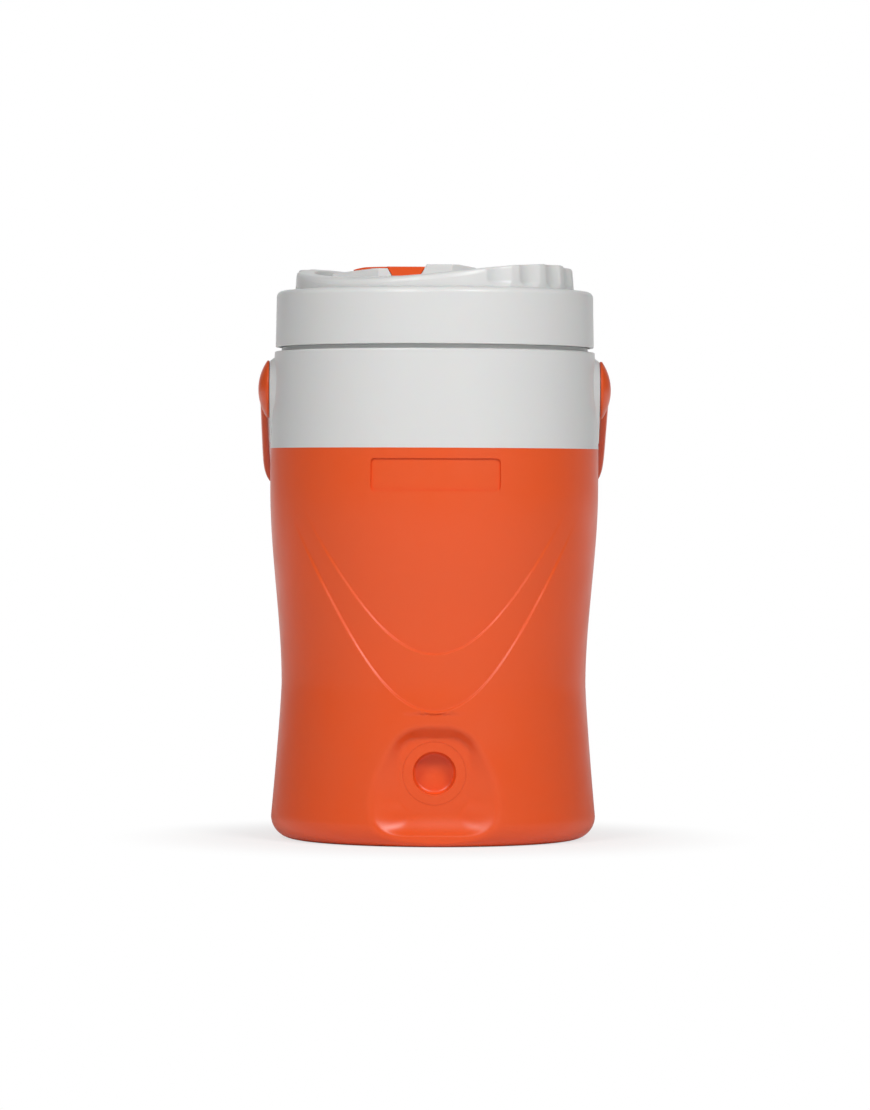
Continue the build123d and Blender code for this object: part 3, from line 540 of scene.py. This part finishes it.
class ShellRows:
    """The rows of the shell's grid from the middle of the base to the rim, some of which follow the
    two curved ledges, so that each ledge is a clean line of faces."""

    def __init__(self, sizes):
        self.sizes = sizes
        foot_r = sizes.base_radius - sizes.edge_radius
        pad, ring, high, soft = CENTRE_PAD_R, FOOT_RING_R, FOOT_RECESS, 0.4
        self.rows = [("base", r, z) for r, z in (
            (0, 0), (pad / 2, 0), (pad - soft, 0), (pad, soft), (pad, high - soft),
            (pad + soft, high), ((pad + ring) / 2, high), (ring - soft, high),
            (ring, high - soft), (ring, soft), (ring + soft, 0), (76, 0), (foot_r - 2, 0))]
        for z in FOOT_ROWS:
            reach = math.sqrt(sizes.edge_radius ** 2 - (sizes.edge_radius - z) ** 2)
            self.rows.append(("base", foot_r + reach, z))
        self.rows += [("low", step / LOW_ROWS, 0) for step in range(LOW_ROWS)]
        self.rows += self.ledge(0)
        self.rows += [("middle", step / MIDDLE_ROWS, 0) for step in range(1, MIDDLE_ROWS)]
        self.rows += self.ledge(1)
        self.rows += [("high", step / HIGH_ROWS, 0) for step in range(1, HIGH_ROWS + 1)]

    def ledge(self, which):
        """Rows across one ledge: its part across and its share of the depth."""
        return [("ledge", which, (part, ease(part, -0.5, 0.5))) for part in LEDGE_PARTS]

    def lines(self, phi):
        """Heights of the two ledges at an angle, and how steeply they run there."""
        x = LEDGE_R * math.sin(min(abs(phi), math.radians(LEDGE_TURN)))
        step = 0.5
        heights = []
        for foot, spread, top in LEDGES:
            height = ledge_height(x, foot, spread, top)
            steep = (ledge_height(x + step, foot, spread, top) - height) / step
            heights.append((height, math.hypot(1, steep)))
        return heights

    def point(self, u, row):
        sizes = self.sizes
        t = 2 * u - 1
        if abs(t) < FRONT_SHARE:
            phi = math.radians(FRONT_SPAN * t / FRONT_SHARE)
        else:
            rest = (abs(t) - FRONT_SHARE) / (1 - FRONT_SHARE)
            phi = math.copysign(math.radians(FRONT_SPAN + (180 - FRONT_SPAN) * rest), t)
        kind, first, second = self.rows[row]
        depth = 0.0
        if kind == "base":
            radius, z = first, second
        else:
            (low, low_steep), (high, high_steep) = self.lines(phi)
            half = LEDGE_PARTS[-1] * sizes.ledge_width
            ends = {
                "low": (sizes.edge_radius, low - half * low_steep),
                "middle": (low + half * low_steep, high - half * high_steep),
                "high": (high + half * high_steep, SHELL_TOP),
            }
            if kind == "ledge":
                part, share = second
                line, steep = (low, low_steep) if first == 0 else (high, high_steep)
                z = line + part * sizes.ledge_width * steep
                depth = first + share
            else:
                z = ends[kind][0] + (ends[kind][1] - ends[kind][0]) * first
                depth = {"low": 0, "middle": 1, "high": 2}[kind]
            fade = 1 - ease(z, *LEDGE_FADE)
            around = 1 - ease(abs(phi), *(math.radians(turn) for turn in LEDGE_AROUND))
            depth *= sizes.ledge_depth * fade * around
            radius = body_radius(sizes, z) - depth
        x = radius * math.sin(phi)
        y = -radius * math.cos(phi)
        if y < -NICHE_BACK and abs(x) < NICHE_HALF and z < NICHE_TOP:
            y = -pressed_in(sizes, x, -y, z)
        return x, y, z


class OBJECT_OT_jug_shell(bpy.types.Operator):
    """Builds the orange waisted shell with its ledges, niche, tap socket and bare panel"""
    bl_idname = "object.jug_shell"
    bl_label = "Body Shell"

    def execute(self, context):
        sizes = context.scene.jug_shell
        rows = ShellRows(sizes)
        shell = wrapped_grid("shell_body", SHELL_COLUMNS, len(rows.rows) - 1, rows.point)
        modify(shell, "SOLIDIFY", thickness=sizes.wall * MM, offset=-1)
        close_up(shell)
        floor = -PAD_Y + SOCKET_DEPTH
        cup_r, cup_back = SOCKET_R + SOCKET_WALL, floor + SOCKET_WALL
        cup = turned("socket_cup", [
            (0, -PAD_Y + CUP_INSET), (cup_r, -PAD_Y + CUP_INSET), (cup_r, cup_back), (0, cup_back),
        ], axis="Y", centre=(0, 0, SOCKET_Z), steps=96)
        combine(shell, cup, "UNION")
        mouth_r = SOCKET_R + SOCKET_BEVEL
        bore = turned("socket_bore", rounded([
            (0, -PAD_Y - PAST), (mouth_r, -PAD_Y - PAST), (mouth_r, -PAD_Y - 0.01),
            (SOCKET_R, -PAD_Y + SOCKET_BEVEL), (SOCKET_R, floor),
            (1.0, floor), (0, floor + 0.35),
        ], {4: SOCKET_FLOOR_R}), axis="Y", centre=(0, 0, SOCKET_Z), steps=96)
        combine(shell, bore, "DIFFERENCE")
        wide, deep = WITNESS_HALF + WITNESS_SLOPE, -PAD_Y + WITNESS_DEPTH
        witness = turned("witness_line", [
            (WITNESS_R - wide, -PAD_Y - 2), (WITNESS_R + wide, -PAD_Y - 2),
            (WITNESS_R + WITNESS_HALF, deep), (WITNESS_R - WITNESS_HALF, deep),
        ], axis="Y", centre=(0, 0, SOCKET_Z), steps=128)
        combine(shell, witness, "DIFFERENCE")
        panel = name_panel_tool(sizes)
        combine(shell, panel, "DIFFERENCE")
        smooth(shell)
        place_piece(shell, "jug", jug_material("shell"), "outer_shell")
        return {"FINISHED"}


def name_panel_tool(sizes):
    """What the bare panel under the collar takes off the shell."""
    half, low, high = PANEL_HALF, PANEL_LOW, PANEL_HIGH
    outline = rounded([(-half, low), (half, low), (half, high), (-half, high)],
                      dict.fromkeys(range(4), PANEL_CORNER))
    tool = prism("panel_tool", [(p[0], p[1]) for p in outline], "Y", -110, -70)
    floor_r = sizes.shoulder_radius - sizes.panel_depth
    core = turned("panel_core", [
        (0, low - PAST), (floor_r, low - PAST), (floor_r, high + PAST), (0, high + PAST),
    ], steps=720)
    combine(tool, core, "DIFFERENCE")
    return tool


# ------------------------------------------------------------------ lid
SEAT_Z = 318.2               # foot of the crown, in the rebate of the skirt
CROWN_DRAFT = 1.0 / 15       # how much the crown's wall leans in
FLUTE_LOW, FLUTE_FULL = 319.2, 323.0   # heights where the flutes begin and reach their full depth
FLUTE_CURVE = 0.0311         # curvature of a flute's floor against the round wall, per millimetre
FLUTE_SOFT = 0.22            # softness of the ridges between flutes
FLUTE_BESIDE = 2             # flutes on each side of the one at a high rim
RIM_R = 80.3                 # radius at which the rim's own height is taken
RIM_EDGE, RIM_EDGE_GAIN = 1.3, 1.5     # rounding of the rim at its high places, and more beside
RIM_EDGE_TURN = (26, 52)     # degrees from the high places between which it grows
LIP_OUT, LIP_IN, LIP_Z = 78.2, 76.0, 313.7
DISH_UNDER = 323.3
RIM_WALL = 2.6               # least wall under the rim
FILLET = 1.2
ISLAND_FOOT, ISLAND_EDGE, POCKET_CORNER = 323.6, 0.9, 2.4
ISLAND_PLAN = [(-33, -22), (10, -22), (24, -8), (24, 8), (10, 22), (-47, 22), (-60, 9), (-60, -2)]
ISLAND_SIDE = [(-60.5, ISLAND_FOOT), (24.5, ISLAND_FOOT), (24.5, 333.0), (14, 334.5), (-5.6, 334.5),
               (-5.6, 332.1), (-36, 332.1), (-60.5, 329.55)]
POCKET_PLAN = [(-32.1, -19.4), (-5.6, -19.4), (-5.6, 19.4), (-48.0, 19.4), (-48.0, -7.6)]
POCKET_Z = 330.3
NOTCH_SIDE = [(-25.15, 327.2), (-8.85, 327.2), (-5.6, 333.1),
              (-4.5, 335.5), (-29.5, 335.5), (-28.4, 333.1)]
HINGE_X, HINGE_Y, HINGE_Z = -26.8, 19.0, 331.7
HINGE_HALF, HINGE_FRONT, HINGE_FLOOR = 9.4, 16.3, 329.0   # place for the cap's knuckle
EAR_W, EAR_R, EAR_EDGE, PIN_R = 4.0, 2.0, 0.3, 1.1
SPOUT_AT = (-22.0, -1.0)
WELL_R, WELL_Z, HOLE_R = 13.9, 328.1, 12.0   # round well around the spout, hole in its floor
CROWN_COLUMNS = 600
CROWN_EDGE = 0.3             # small rounding of the crown's edges
UNDER_RADII = (74.0, 72.4, 30.0)       # rows under the dish
FILLET_STEPS, RIM_STEPS, EDGE_STEPS, WALL_STEPS = 4, 5, 6, 16


class CrownForm:
    """Surface of the crown: a wavy rim with finger flutes around a flat dish."""

    def __init__(self, sizes):
        self.sizes = sizes
        self.rows = [("floor", share, 0) for share in (0, 0.2, 0.4, 0.6, 0.8, 0.93)]
        # kind, steps, and the numbers of its first and last row; shared rows are given only once
        for kind, steps, first, last in (
                ("foot", FILLET_STEPS, 0, FILLET_STEPS), ("brim", FILLET_STEPS, 0, FILLET_STEPS),
                ("rim", RIM_STEPS, 1, RIM_STEPS - 1), ("edge", EDGE_STEPS, 0, EDGE_STEPS),
                ("wall", WALL_STEPS, 1, WALL_STEPS)):
            self.rows += [(kind, step / steps, 0) for step in range(first, last + 1)]
        under, inner, middle = UNDER_RADII
        self.rows += [
            ("plain", sizes.crown_radius - CROWN_EDGE, SEAT_Z), ("plain", LIP_OUT, SEAT_Z),
            ("plain", LIP_OUT, LIP_Z + CROWN_EDGE), ("plain", LIP_OUT - CROWN_EDGE, LIP_Z),
            ("plain", LIP_IN + CROWN_EDGE, LIP_Z), ("plain", LIP_IN, LIP_Z + CROWN_EDGE),
            ("under", LIP_IN, 0), ("under", under, 0),
            ("plain", inner, DISH_UNDER), ("plain", middle, DISH_UNDER), ("plain", 0, DISH_UNDER)]

    def wave(self, phi, radius):
        """Height of the wavy rim's saddle."""
        sizes = self.sizes
        swing = math.cos(2 * (phi - math.radians(sizes.wave_angle)))
        return sizes.wave_mean + sizes.wave_height * (radius / sizes.crown_radius) ** 2 * swing

    def beside_peak(self, phi):
        """Angle from the nearer of the two high rims, in degrees from -90 to 90."""
        off = math.degrees(phi) - self.sizes.wave_angle
        return (off + 90) % 180 - 90

    def wall(self, phi, z):
        """Radius of the crown's wall, with the flutes pressed into it."""
        sizes = self.sizes
        off = self.beside_peak(phi)
        which = min(FLUTE_BESIDE, max(-FLUTE_BESIDE, round(off / sizes.flute_pitch)))
        nearest = which * sizes.flute_pitch
        aside = math.radians(off - nearest) * sizes.crown_radius
        depth = sizes.flute_depth * ease(z, FLUTE_LOW, FLUTE_FULL)
        raw = depth - FLUTE_CURVE * aside * aside
        cut = (raw + math.hypot(raw, FLUTE_SOFT)) / 2 * min(1.0, depth / 0.5)
        return sizes.crown_radius - CROWN_DRAFT * (z - SEAT_Z) - cut

    def point(self, u, row):
        sizes = self.sizes
        phi = 2 * math.pi * u
        kind, first, second = self.rows[row]
        top_r = self.wall(phi, self.wave(phi, RIM_R))
        edge = RIM_EDGE + RIM_EDGE_GAIN * ease(abs(self.beside_peak(phi)), *RIM_EDGE_TURN)
        rise = self.wave(phi, sizes.dish_radius + FILLET) - sizes.dish_height
        soft = math.copysign(min(FILLET, abs(rise) * 0.45), rise)
        turn = math.radians(90 * first) if kind in ("foot", "brim", "edge") else 0
        if kind == "floor":
            radius, z = (sizes.dish_radius - FILLET) * first, sizes.dish_height
        elif kind == "foot":
            radius = sizes.dish_radius - FILLET * (1 - math.sin(turn))
            z = sizes.dish_height + soft * (1 - math.cos(turn))
        elif kind == "brim":
            radius = sizes.dish_radius + FILLET * (1 - math.cos(turn))
            z = sizes.dish_height + rise - soft * (1 - math.sin(turn))
        elif kind == "rim":
            inner = sizes.dish_radius + FILLET
            radius = inner + (top_r - edge - inner) * first
            z = self.wave(phi, radius)
        elif kind == "edge":
            radius = top_r - edge * (1 - math.sin(turn))
            z = self.wave(phi, radius) - edge * (1 - math.cos(turn))
        elif kind == "wall":
            start = self.wave(phi, top_r) - edge
            z = start + (SEAT_Z + CROWN_EDGE - start) * first
            radius = self.wall(phi, z)
        elif kind == "under":
            radius, z = first, min(DISH_UNDER, self.wave(phi, LIP_IN) - RIM_WALL)
        else:
            radius, z = first, second
        return radius * math.sin(phi), -radius * math.cos(phi), z


def island_block():
    """The raised block in the dish, with the cap's pocket, notch and hinge place cut out."""
    block = prism("island", ISLAND_PLAN, "Z", ISLAND_FOOT, 336)
    side = prism("island_side", ISLAND_SIDE, "Y", -30, 30)
    combine(block, side, "INTERSECT")
    bevel(block, ISLAND_EDGE, segments=4, degrees=20)
    plan = rounded(POCKET_PLAN, dict.fromkeys(range(len(POCKET_PLAN)), POCKET_CORNER))
    pocket = prism("pocket", plan, "Z", POCKET_Z, 340)
    combine(block, pocket, "DIFFERENCE")
    notch = prism("notch", NOTCH_SIDE, "Y", -26, -16)
    combine(block, notch, "DIFFERENCE")
    left, right = HINGE_X - HINGE_HALF, HINGE_X + HINGE_HALF
    for low_x, high_x in ((left - EAR_W, left), (right, right + EAR_W)):
        outline = rounded([(0, low_x), (EAR_R, low_x), (EAR_R, high_x), (0, high_x)],
                          {1: EAR_EDGE, 2: EAR_EDGE})
        ear = turned("ear", outline, axis="X", centre=(0, HINGE_Y, HINGE_Z), steps=48)
        combine(block, ear, "UNION")
    hollow = prism("hinge_place", [
        (left, HINGE_FRONT), (right, HINGE_FRONT), (right, 25), (left, 25),
    ], "Z", HINGE_FLOOR, 340)
    combine(block, hollow, "DIFFERENCE")
    return block


class OBJECT_OT_jug_crown(bpy.types.Operator):
    """Builds the lid's wavy crown with its finger flutes, dish and raised spout block"""
    bl_idname = "object.jug_crown"
    bl_label = "Lid Crown"

    def execute(self, context):
        form = CrownForm(context.scene.jug_lid)
        crown = wrapped_grid("lid_crown_moulding", CROWN_COLUMNS, len(form.rows) - 1, form.point)
        combine(crown, island_block(), "UNION")
        x, y = SPOUT_AT
        for name, radius, low in (("spout_well", WELL_R, WELL_Z), ("spout_hole", HOLE_R, 315)):
            outline = [(0, low), (radius, low), (radius, 345), (0, 345)]
            tool = turned(name, outline, centre=(x, y, 0), steps=72)
            combine(crown, tool, "DIFFERENCE")
        pin = turned("pin_hole", [(0, -45), (PIN_R, -45), (PIN_R, -8), (0, -8)],
                     axis="X", centre=(0, HINGE_Y, HINGE_Z), steps=32)
        combine(crown, pin, "DIFFERENCE")
        smooth(crown, 30)
        place_piece(crown, "lid", jug_material("white"), "lid_crown")
        return {"FINISHED"}


# ------------------------------------------------------------------ handle
PIVOT_Z = 262.0
EYE_IN, EYE_RIM, EYE_TOP, EYE_R = 96.5, 97.8, 103.1, 16.8
STUD_END, STUD_R, STUD_HEAD_R = 86.4, 6.05, 7.2
BOW_SQUARE = 5.3             # how square the bow is: 2 is an oval
BAND_SQUARE = 3.4            # the same for the band's section
ARM_SHARE = 0.22             # share of the rows that lie in each arm
HANDLE_COLUMNS, HANDLE_ROWS, DOME_STEPS = 56, 190, 12


def bow_side(half, reach, straight, share):
    """Point at a share of the way along one edge of the bow: straight arms and a squared oval."""
    if share < ARM_SHARE:
        return half, -straight * share / ARM_SHARE
    if share > 1 - ARM_SHARE:
        return -half, -straight * (1 - share) / ARM_SHARE
    turn = math.pi * (share - ARM_SHARE) / (1 - 2 * ARM_SHARE)
    c, s = math.cos(turn), math.sin(turn)
    size = (abs(c) ** BOW_SQUARE + s ** BOW_SQUARE) ** (-1 / BOW_SQUARE)
    return half * size * c, -straight - (reach - straight) * size * s


class OBJECT_OT_jug_handle(bpy.types.Operator):
    """Builds the orange bail handle with its rounded band, lens-shaped eyes and snap studs"""
    bl_idname = "object.jug_handle"
    bl_label = "Bail Handle"

    def execute(self, context):
        sizes = context.scene.jug_handle

        def band(u, row):
            share = row / HANDLE_ROWS
            inner = Vector(bow_side(sizes.arm_inside, sizes.grip_inside, sizes.straight, share))
            outer = Vector(bow_side(
                sizes.arm_inside + sizes.arm_thickness, sizes.grip_inside + sizes.grip_thickness,
                sizes.straight, share))
            middle = (inner + outer) / 2
            across = (outer - inner) / 2
            close = 0.0 if row in (0, HANDLE_ROWS) else 1.0
            turn = 2 * math.pi * u
            c, s = math.cos(turn), math.sin(turn)
            size = (abs(c) ** BAND_SQUARE + abs(s) ** BAND_SQUARE) ** (-1 / BAND_SQUARE) * close
            at = middle + across * size * c
            return at.x, sizes.half_width * size * s, at.y

        handle = wrapped_grid("bail_handle", HANDLE_COLUMNS, HANDLE_ROWS, band)
        dome_r = (EYE_R ** 2 + (EYE_TOP - EYE_RIM) ** 2) / (2 * (EYE_TOP - EYE_RIM))
        dome = []
        for step in range(1, DOME_STEPS + 1):
            r = EYE_R * math.sin(math.radians(90 * (DOME_STEPS - step) / DOME_STEPS))
            dome.append((r, EYE_TOP - dome_r + math.sqrt(dome_r ** 2 - r * r)))
        outline = [
            (0, STUD_END), (STUD_HEAD_R - 0.4, STUD_END), (STUD_HEAD_R, STUD_END + 0.5),
            (STUD_HEAD_R, STUD_END + 3), (STUD_R, STUD_END + 3), (STUD_R, EYE_IN),
            (EYE_R - 0.5, EYE_IN), (EYE_R - 0.15, EYE_IN + 0.15), (EYE_R, EYE_IN + 0.5),
            (EYE_R, EYE_RIM - 0.1)] + dome
        for side, name in ((1, "eye_right"), (-1, "eye_left")):
            eye = turned(name, [(r, side * x) for r, x in outline], axis="X", steps=144)
            combine(handle, eye, "UNION")
        edit_all(handle)
        bpy.ops.transform.rotate(
            value=math.radians(-sizes.lean), orient_axis="X", center_override=(0, 0, 0))
        bpy.ops.transform.translate(value=(0, 0, PIVOT_Z * MM))
        bpy.ops.object.mode_set(mode="OBJECT")
        smooth(handle, 34)
        place_piece(handle, "handle", jug_material("trim"), "handle_bail")
        return {"FINISHED"}


# ------------------------------------------------------------------ pieces that keep their CAD form
NODE_MATERIALS = {
    "foam_fill_plug": "shell", "body_foam": "foam", "lid_foam": "foam", "inner_liner": "liner",
    "collar": "white", "lid_skirt": "white", "lid_crown": "white", "lid_inner_cover": "white",
    "spout_tube": "white", "spout_cap": "trim", "handle_bail": "trim", "outer_shell": "shell",
    "lid_gasket": "silicone", "spout_seal": "silicone", "cap_seal": "silicone",
    "cap_hinge_pin": "steel",
}


class OBJECT_OT_jug_finishes(bpy.types.Operator):
    """Gives every piece of the construction model its real material"""
    bl_idname = "object.jug_finishes"
    bl_label = "Finishes"

    def execute(self, context):
        for name, key in NODE_MATERIALS.items():
            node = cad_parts[name]
            node.data.materials.clear()
            node.data.materials.append(jug_material(key))
        return {"FINISHED"}


# ------------------------------------------------------------------ stage
FLOOR_SIZE, FLOOR_BACK = 40.0, 12.0            # metres; the floor reaches further to the back
FLOOR_NEAR, FLOOR_FAR, FLOOR_LIFT = 0.09, 0.2, 0.7   # the paper's lift grows from near to far
FLOOR_MIRRORED = (0.6, 2.0)                    # metres behind the jug: white for mirrored rays
WORLD_BEHIND = (0.8, 1.0)                      # the same for the world, as part of the direction
SOFTBOXES = (("right_softbox", (1.1, -1.85, 1.8), 31), ("left_softbox", (-1.1, -1.85, 1.8), 25))
SOFTBOX_SIZE, SOFTBOX_AIM = 0.9, (0, 0, 0.17)
WORLD_LIGHT = 0.2                              # even light from all around
MIRRORED_FRONT = 0.03                          # what mirrored rays find in front of the jug
CAMERA_PLACE, CAMERA_TARGET = Vector((-0.0254, -3.0, 0.2035)), Vector((0.0006, 0.0, 0.1654))
CAMERA_ROLL, CAMERA_LENS, CAMERA_SENSOR = 0.22, 166.3, 36


def ray_kinds(tree):
    """Two values: 1 for rays from the camera, and 1 for mirrored and transmitted rays."""
    path = add_node(tree, "ShaderNodeLightPath")
    mirrored = add_node(tree, "ShaderNodeMath", settings={"operation": "MAXIMUM"}, links=[
        (0, path.outputs["Is Glossy Ray"]), (1, path.outputs["Is Transmission Ray"])])
    return path.outputs["Is Camera Ray"], mirrored.outputs["Value"]


def combined(tree, operation, first, second):
    """Result of a two-sided math node."""
    node = add_node(
        tree, "ShaderNodeMath", settings={"operation": operation}, links=[(0, first), (1, second)])
    return node.outputs["Value"]


class SCENE_OT_jug_stage(bpy.types.Operator):
    """Sets up the pale floor, the soft studio lamps, the world and the camera"""
    bl_idname = "scene.jug_stage"
    bl_label = "Stage"

    def execute(self, context):
        deselect()
        bpy.ops.mesh.primitive_plane_add(size=FLOOR_SIZE, location=(0, FLOOR_BACK, 0))
        floor = bpy.context.object
        floor.name = "studio_floor"
        floor.data.materials.append(self.floor_material())
        for name, place, power in SOFTBOXES:
            self.softbox(name, place, power)
        self.world(context)
        self.camera(context)
        context.scene.view_settings.view_transform = "Standard"
        return {"FINISHED"}

    def floor_material(self):
        """White paper sweep: matt, and lifted to plain white for the eye except close to the jug,
        where its shadow shows."""
        material, tree = blank_material("White paper sweep")
        paper = add_node(tree, "ShaderNodeBsdfDiffuse", inputs={"Color": linear("F4F4F4")})
        glow = add_node(tree, "ShaderNodeEmission", inputs={"Color": (1, 1, 1, 1), "Strength": 1.0})
        place = add_node(tree, "ShaderNodeTexCoord").outputs["Object"]
        around = add_node(tree, "ShaderNodeVectorMath", settings={"operation": "DISTANCE"},
                          inputs={1: (0, -FLOOR_BACK, 0)}, links=[(0, place)])
        share = add_node(
            tree, "ShaderNodeMapRange", settings={"interpolation_type": "SMOOTHSTEP"},
            inputs={"From Min": FLOOR_NEAR, "From Max": FLOOR_FAR,
                    "To Min": FLOOR_LIFT, "To Max": 1.0},
            links=[("Value", around.outputs["Value"])])
        depth = add_node(tree, "ShaderNodeSeparateXYZ", links=[("Vector", place)])
        near, far = (metres - FLOOR_BACK for metres in FLOOR_MIRRORED)
        behind = add_node(
            tree, "ShaderNodeMapRange", inputs={"From Min": near, "From Max": far},
            links=[("Value", depth.outputs["Y"])])
        by_eye, mirrored = ray_kinds(tree)
        seen = combined(
            tree, "MAXIMUM", combined(tree, "MULTIPLY", by_eye, share.outputs["Result"]),
            combined(tree, "MULTIPLY", mirrored, behind.outputs["Result"]))
        mix = add_node(tree, "ShaderNodeMixShader", links=[
            ("Fac", seen), (1, paper.outputs["BSDF"]), (2, glow.outputs["Emission"])])
        add_node(tree, "ShaderNodeOutputMaterial", links=[("Surface", mix.outputs["Shader"])])
        return material

    def softbox(self, name, place, power):
        deselect()
        bpy.ops.object.light_add(type="AREA", location=place)
        lamp = bpy.context.object
        lamp.name = name
        lamp.data.shape = "DISK"
        lamp.data.size = SOFTBOX_SIZE
        lamp.data.energy = power
        aim = Vector(SOFTBOX_AIM) - Vector(place)
        lamp.rotation_euler = aim.to_track_quat("-Z", "Y").to_euler()

    def world(self, context):
        world = bpy.data.worlds.new("Studio")
        context.scene.world = world
        world.use_nodes = True
        tree = world.node_tree
        tree.nodes.clear()
        towards = add_node(tree, "ShaderNodeSeparateXYZ", links=[
            ("Vector", add_node(tree, "ShaderNodeTexCoord").outputs["Generated"])])
        behind = add_node(
            tree, "ShaderNodeMapRange", settings={"interpolation_type": "SMOOTHSTEP"},
            inputs={"From Min": WORLD_BEHIND[0], "From Max": WORLD_BEHIND[1],
                    "To Min": MIRRORED_FRONT, "To Max": 1.0},
            links=[("Value", towards.outputs["Y"])])
        by_eye, mirrored = ray_kinds(tree)
        unseen = add_node(
            tree, "ShaderNodeMapRange", inputs={"To Min": WORLD_LIGHT},
            links=[("Value", mirrored), ("To Max", behind.outputs["Result"])])
        strength = combined(tree, "MAXIMUM", by_eye, unseen.outputs["Result"])
        sky = add_node(tree, "ShaderNodeBackground", inputs={"Color": (1, 1, 1, 1)},
                       links=[("Strength", strength)])
        add_node(tree, "ShaderNodeOutputWorld", links=[("Surface", sky.outputs["Background"])])

    def camera(self, context):
        deselect()
        bpy.ops.object.camera_add(location=CAMERA_PLACE)
        camera = bpy.context.object
        aim = (CAMERA_TARGET - CAMERA_PLACE).to_track_quat("-Z", "Y")
        camera.rotation_euler = (aim @ Quaternion((0, 0, 1), math.radians(CAMERA_ROLL))).to_euler()
        camera.data.sensor_width = CAMERA_SENSOR
        camera.data.lens = CAMERA_LENS
        context.scene.camera = camera


class VIEW3D_PT_drinks_jug(bpy.types.Panel):
    """Lists the jug's pieces in the sidebar"""
    bl_label = "Drinks Jug"
    bl_idname = "VIEW3D_PT_drinks_jug"
    bl_space_type = "VIEW_3D"
    bl_region_type = "UI"
    bl_category = "Drinks Jug"

    def draw(self, context):
        for operator in OPERATORS:
            self.layout.operator(operator.bl_idname)


OPERATORS = (
    OBJECT_OT_jug_shell, OBJECT_OT_jug_crown, OBJECT_OT_jug_handle, OBJECT_OT_jug_finishes,
    SCENE_OT_jug_stage)
GROUPS = (JugShellSizes, JugLidSizes, JugHandleSizes, JugColours)


def register():
    for item in GROUPS + OPERATORS + (VIEW3D_PT_drinks_jug,):
        bpy.utils.register_class(item)
    bpy.types.Scene.jug_shell = bpy.props.PointerProperty(type=JugShellSizes)
    bpy.types.Scene.jug_lid = bpy.props.PointerProperty(type=JugLidSizes)
    bpy.types.Scene.jug_handle = bpy.props.PointerProperty(type=JugHandleSizes)
    bpy.types.Scene.jug_colours = bpy.props.PointerProperty(type=JugColours)


def unregister():
    del bpy.types.Scene.jug_colours
    del bpy.types.Scene.jug_handle
    del bpy.types.Scene.jug_lid
    del bpy.types.Scene.jug_shell
    for item in reversed(GROUPS + OPERATORS + (VIEW3D_PT_drinks_jug,)):
        bpy.utils.unregister_class(item)


def main():
    register()
    bpy.ops.object.jug_shell()
    bpy.ops.object.jug_crown()
    bpy.ops.object.jug_handle()
    bpy.ops.object.jug_finishes()
    bpy.ops.scene.jug_stage()


if __name__ == "__main__":
    main()
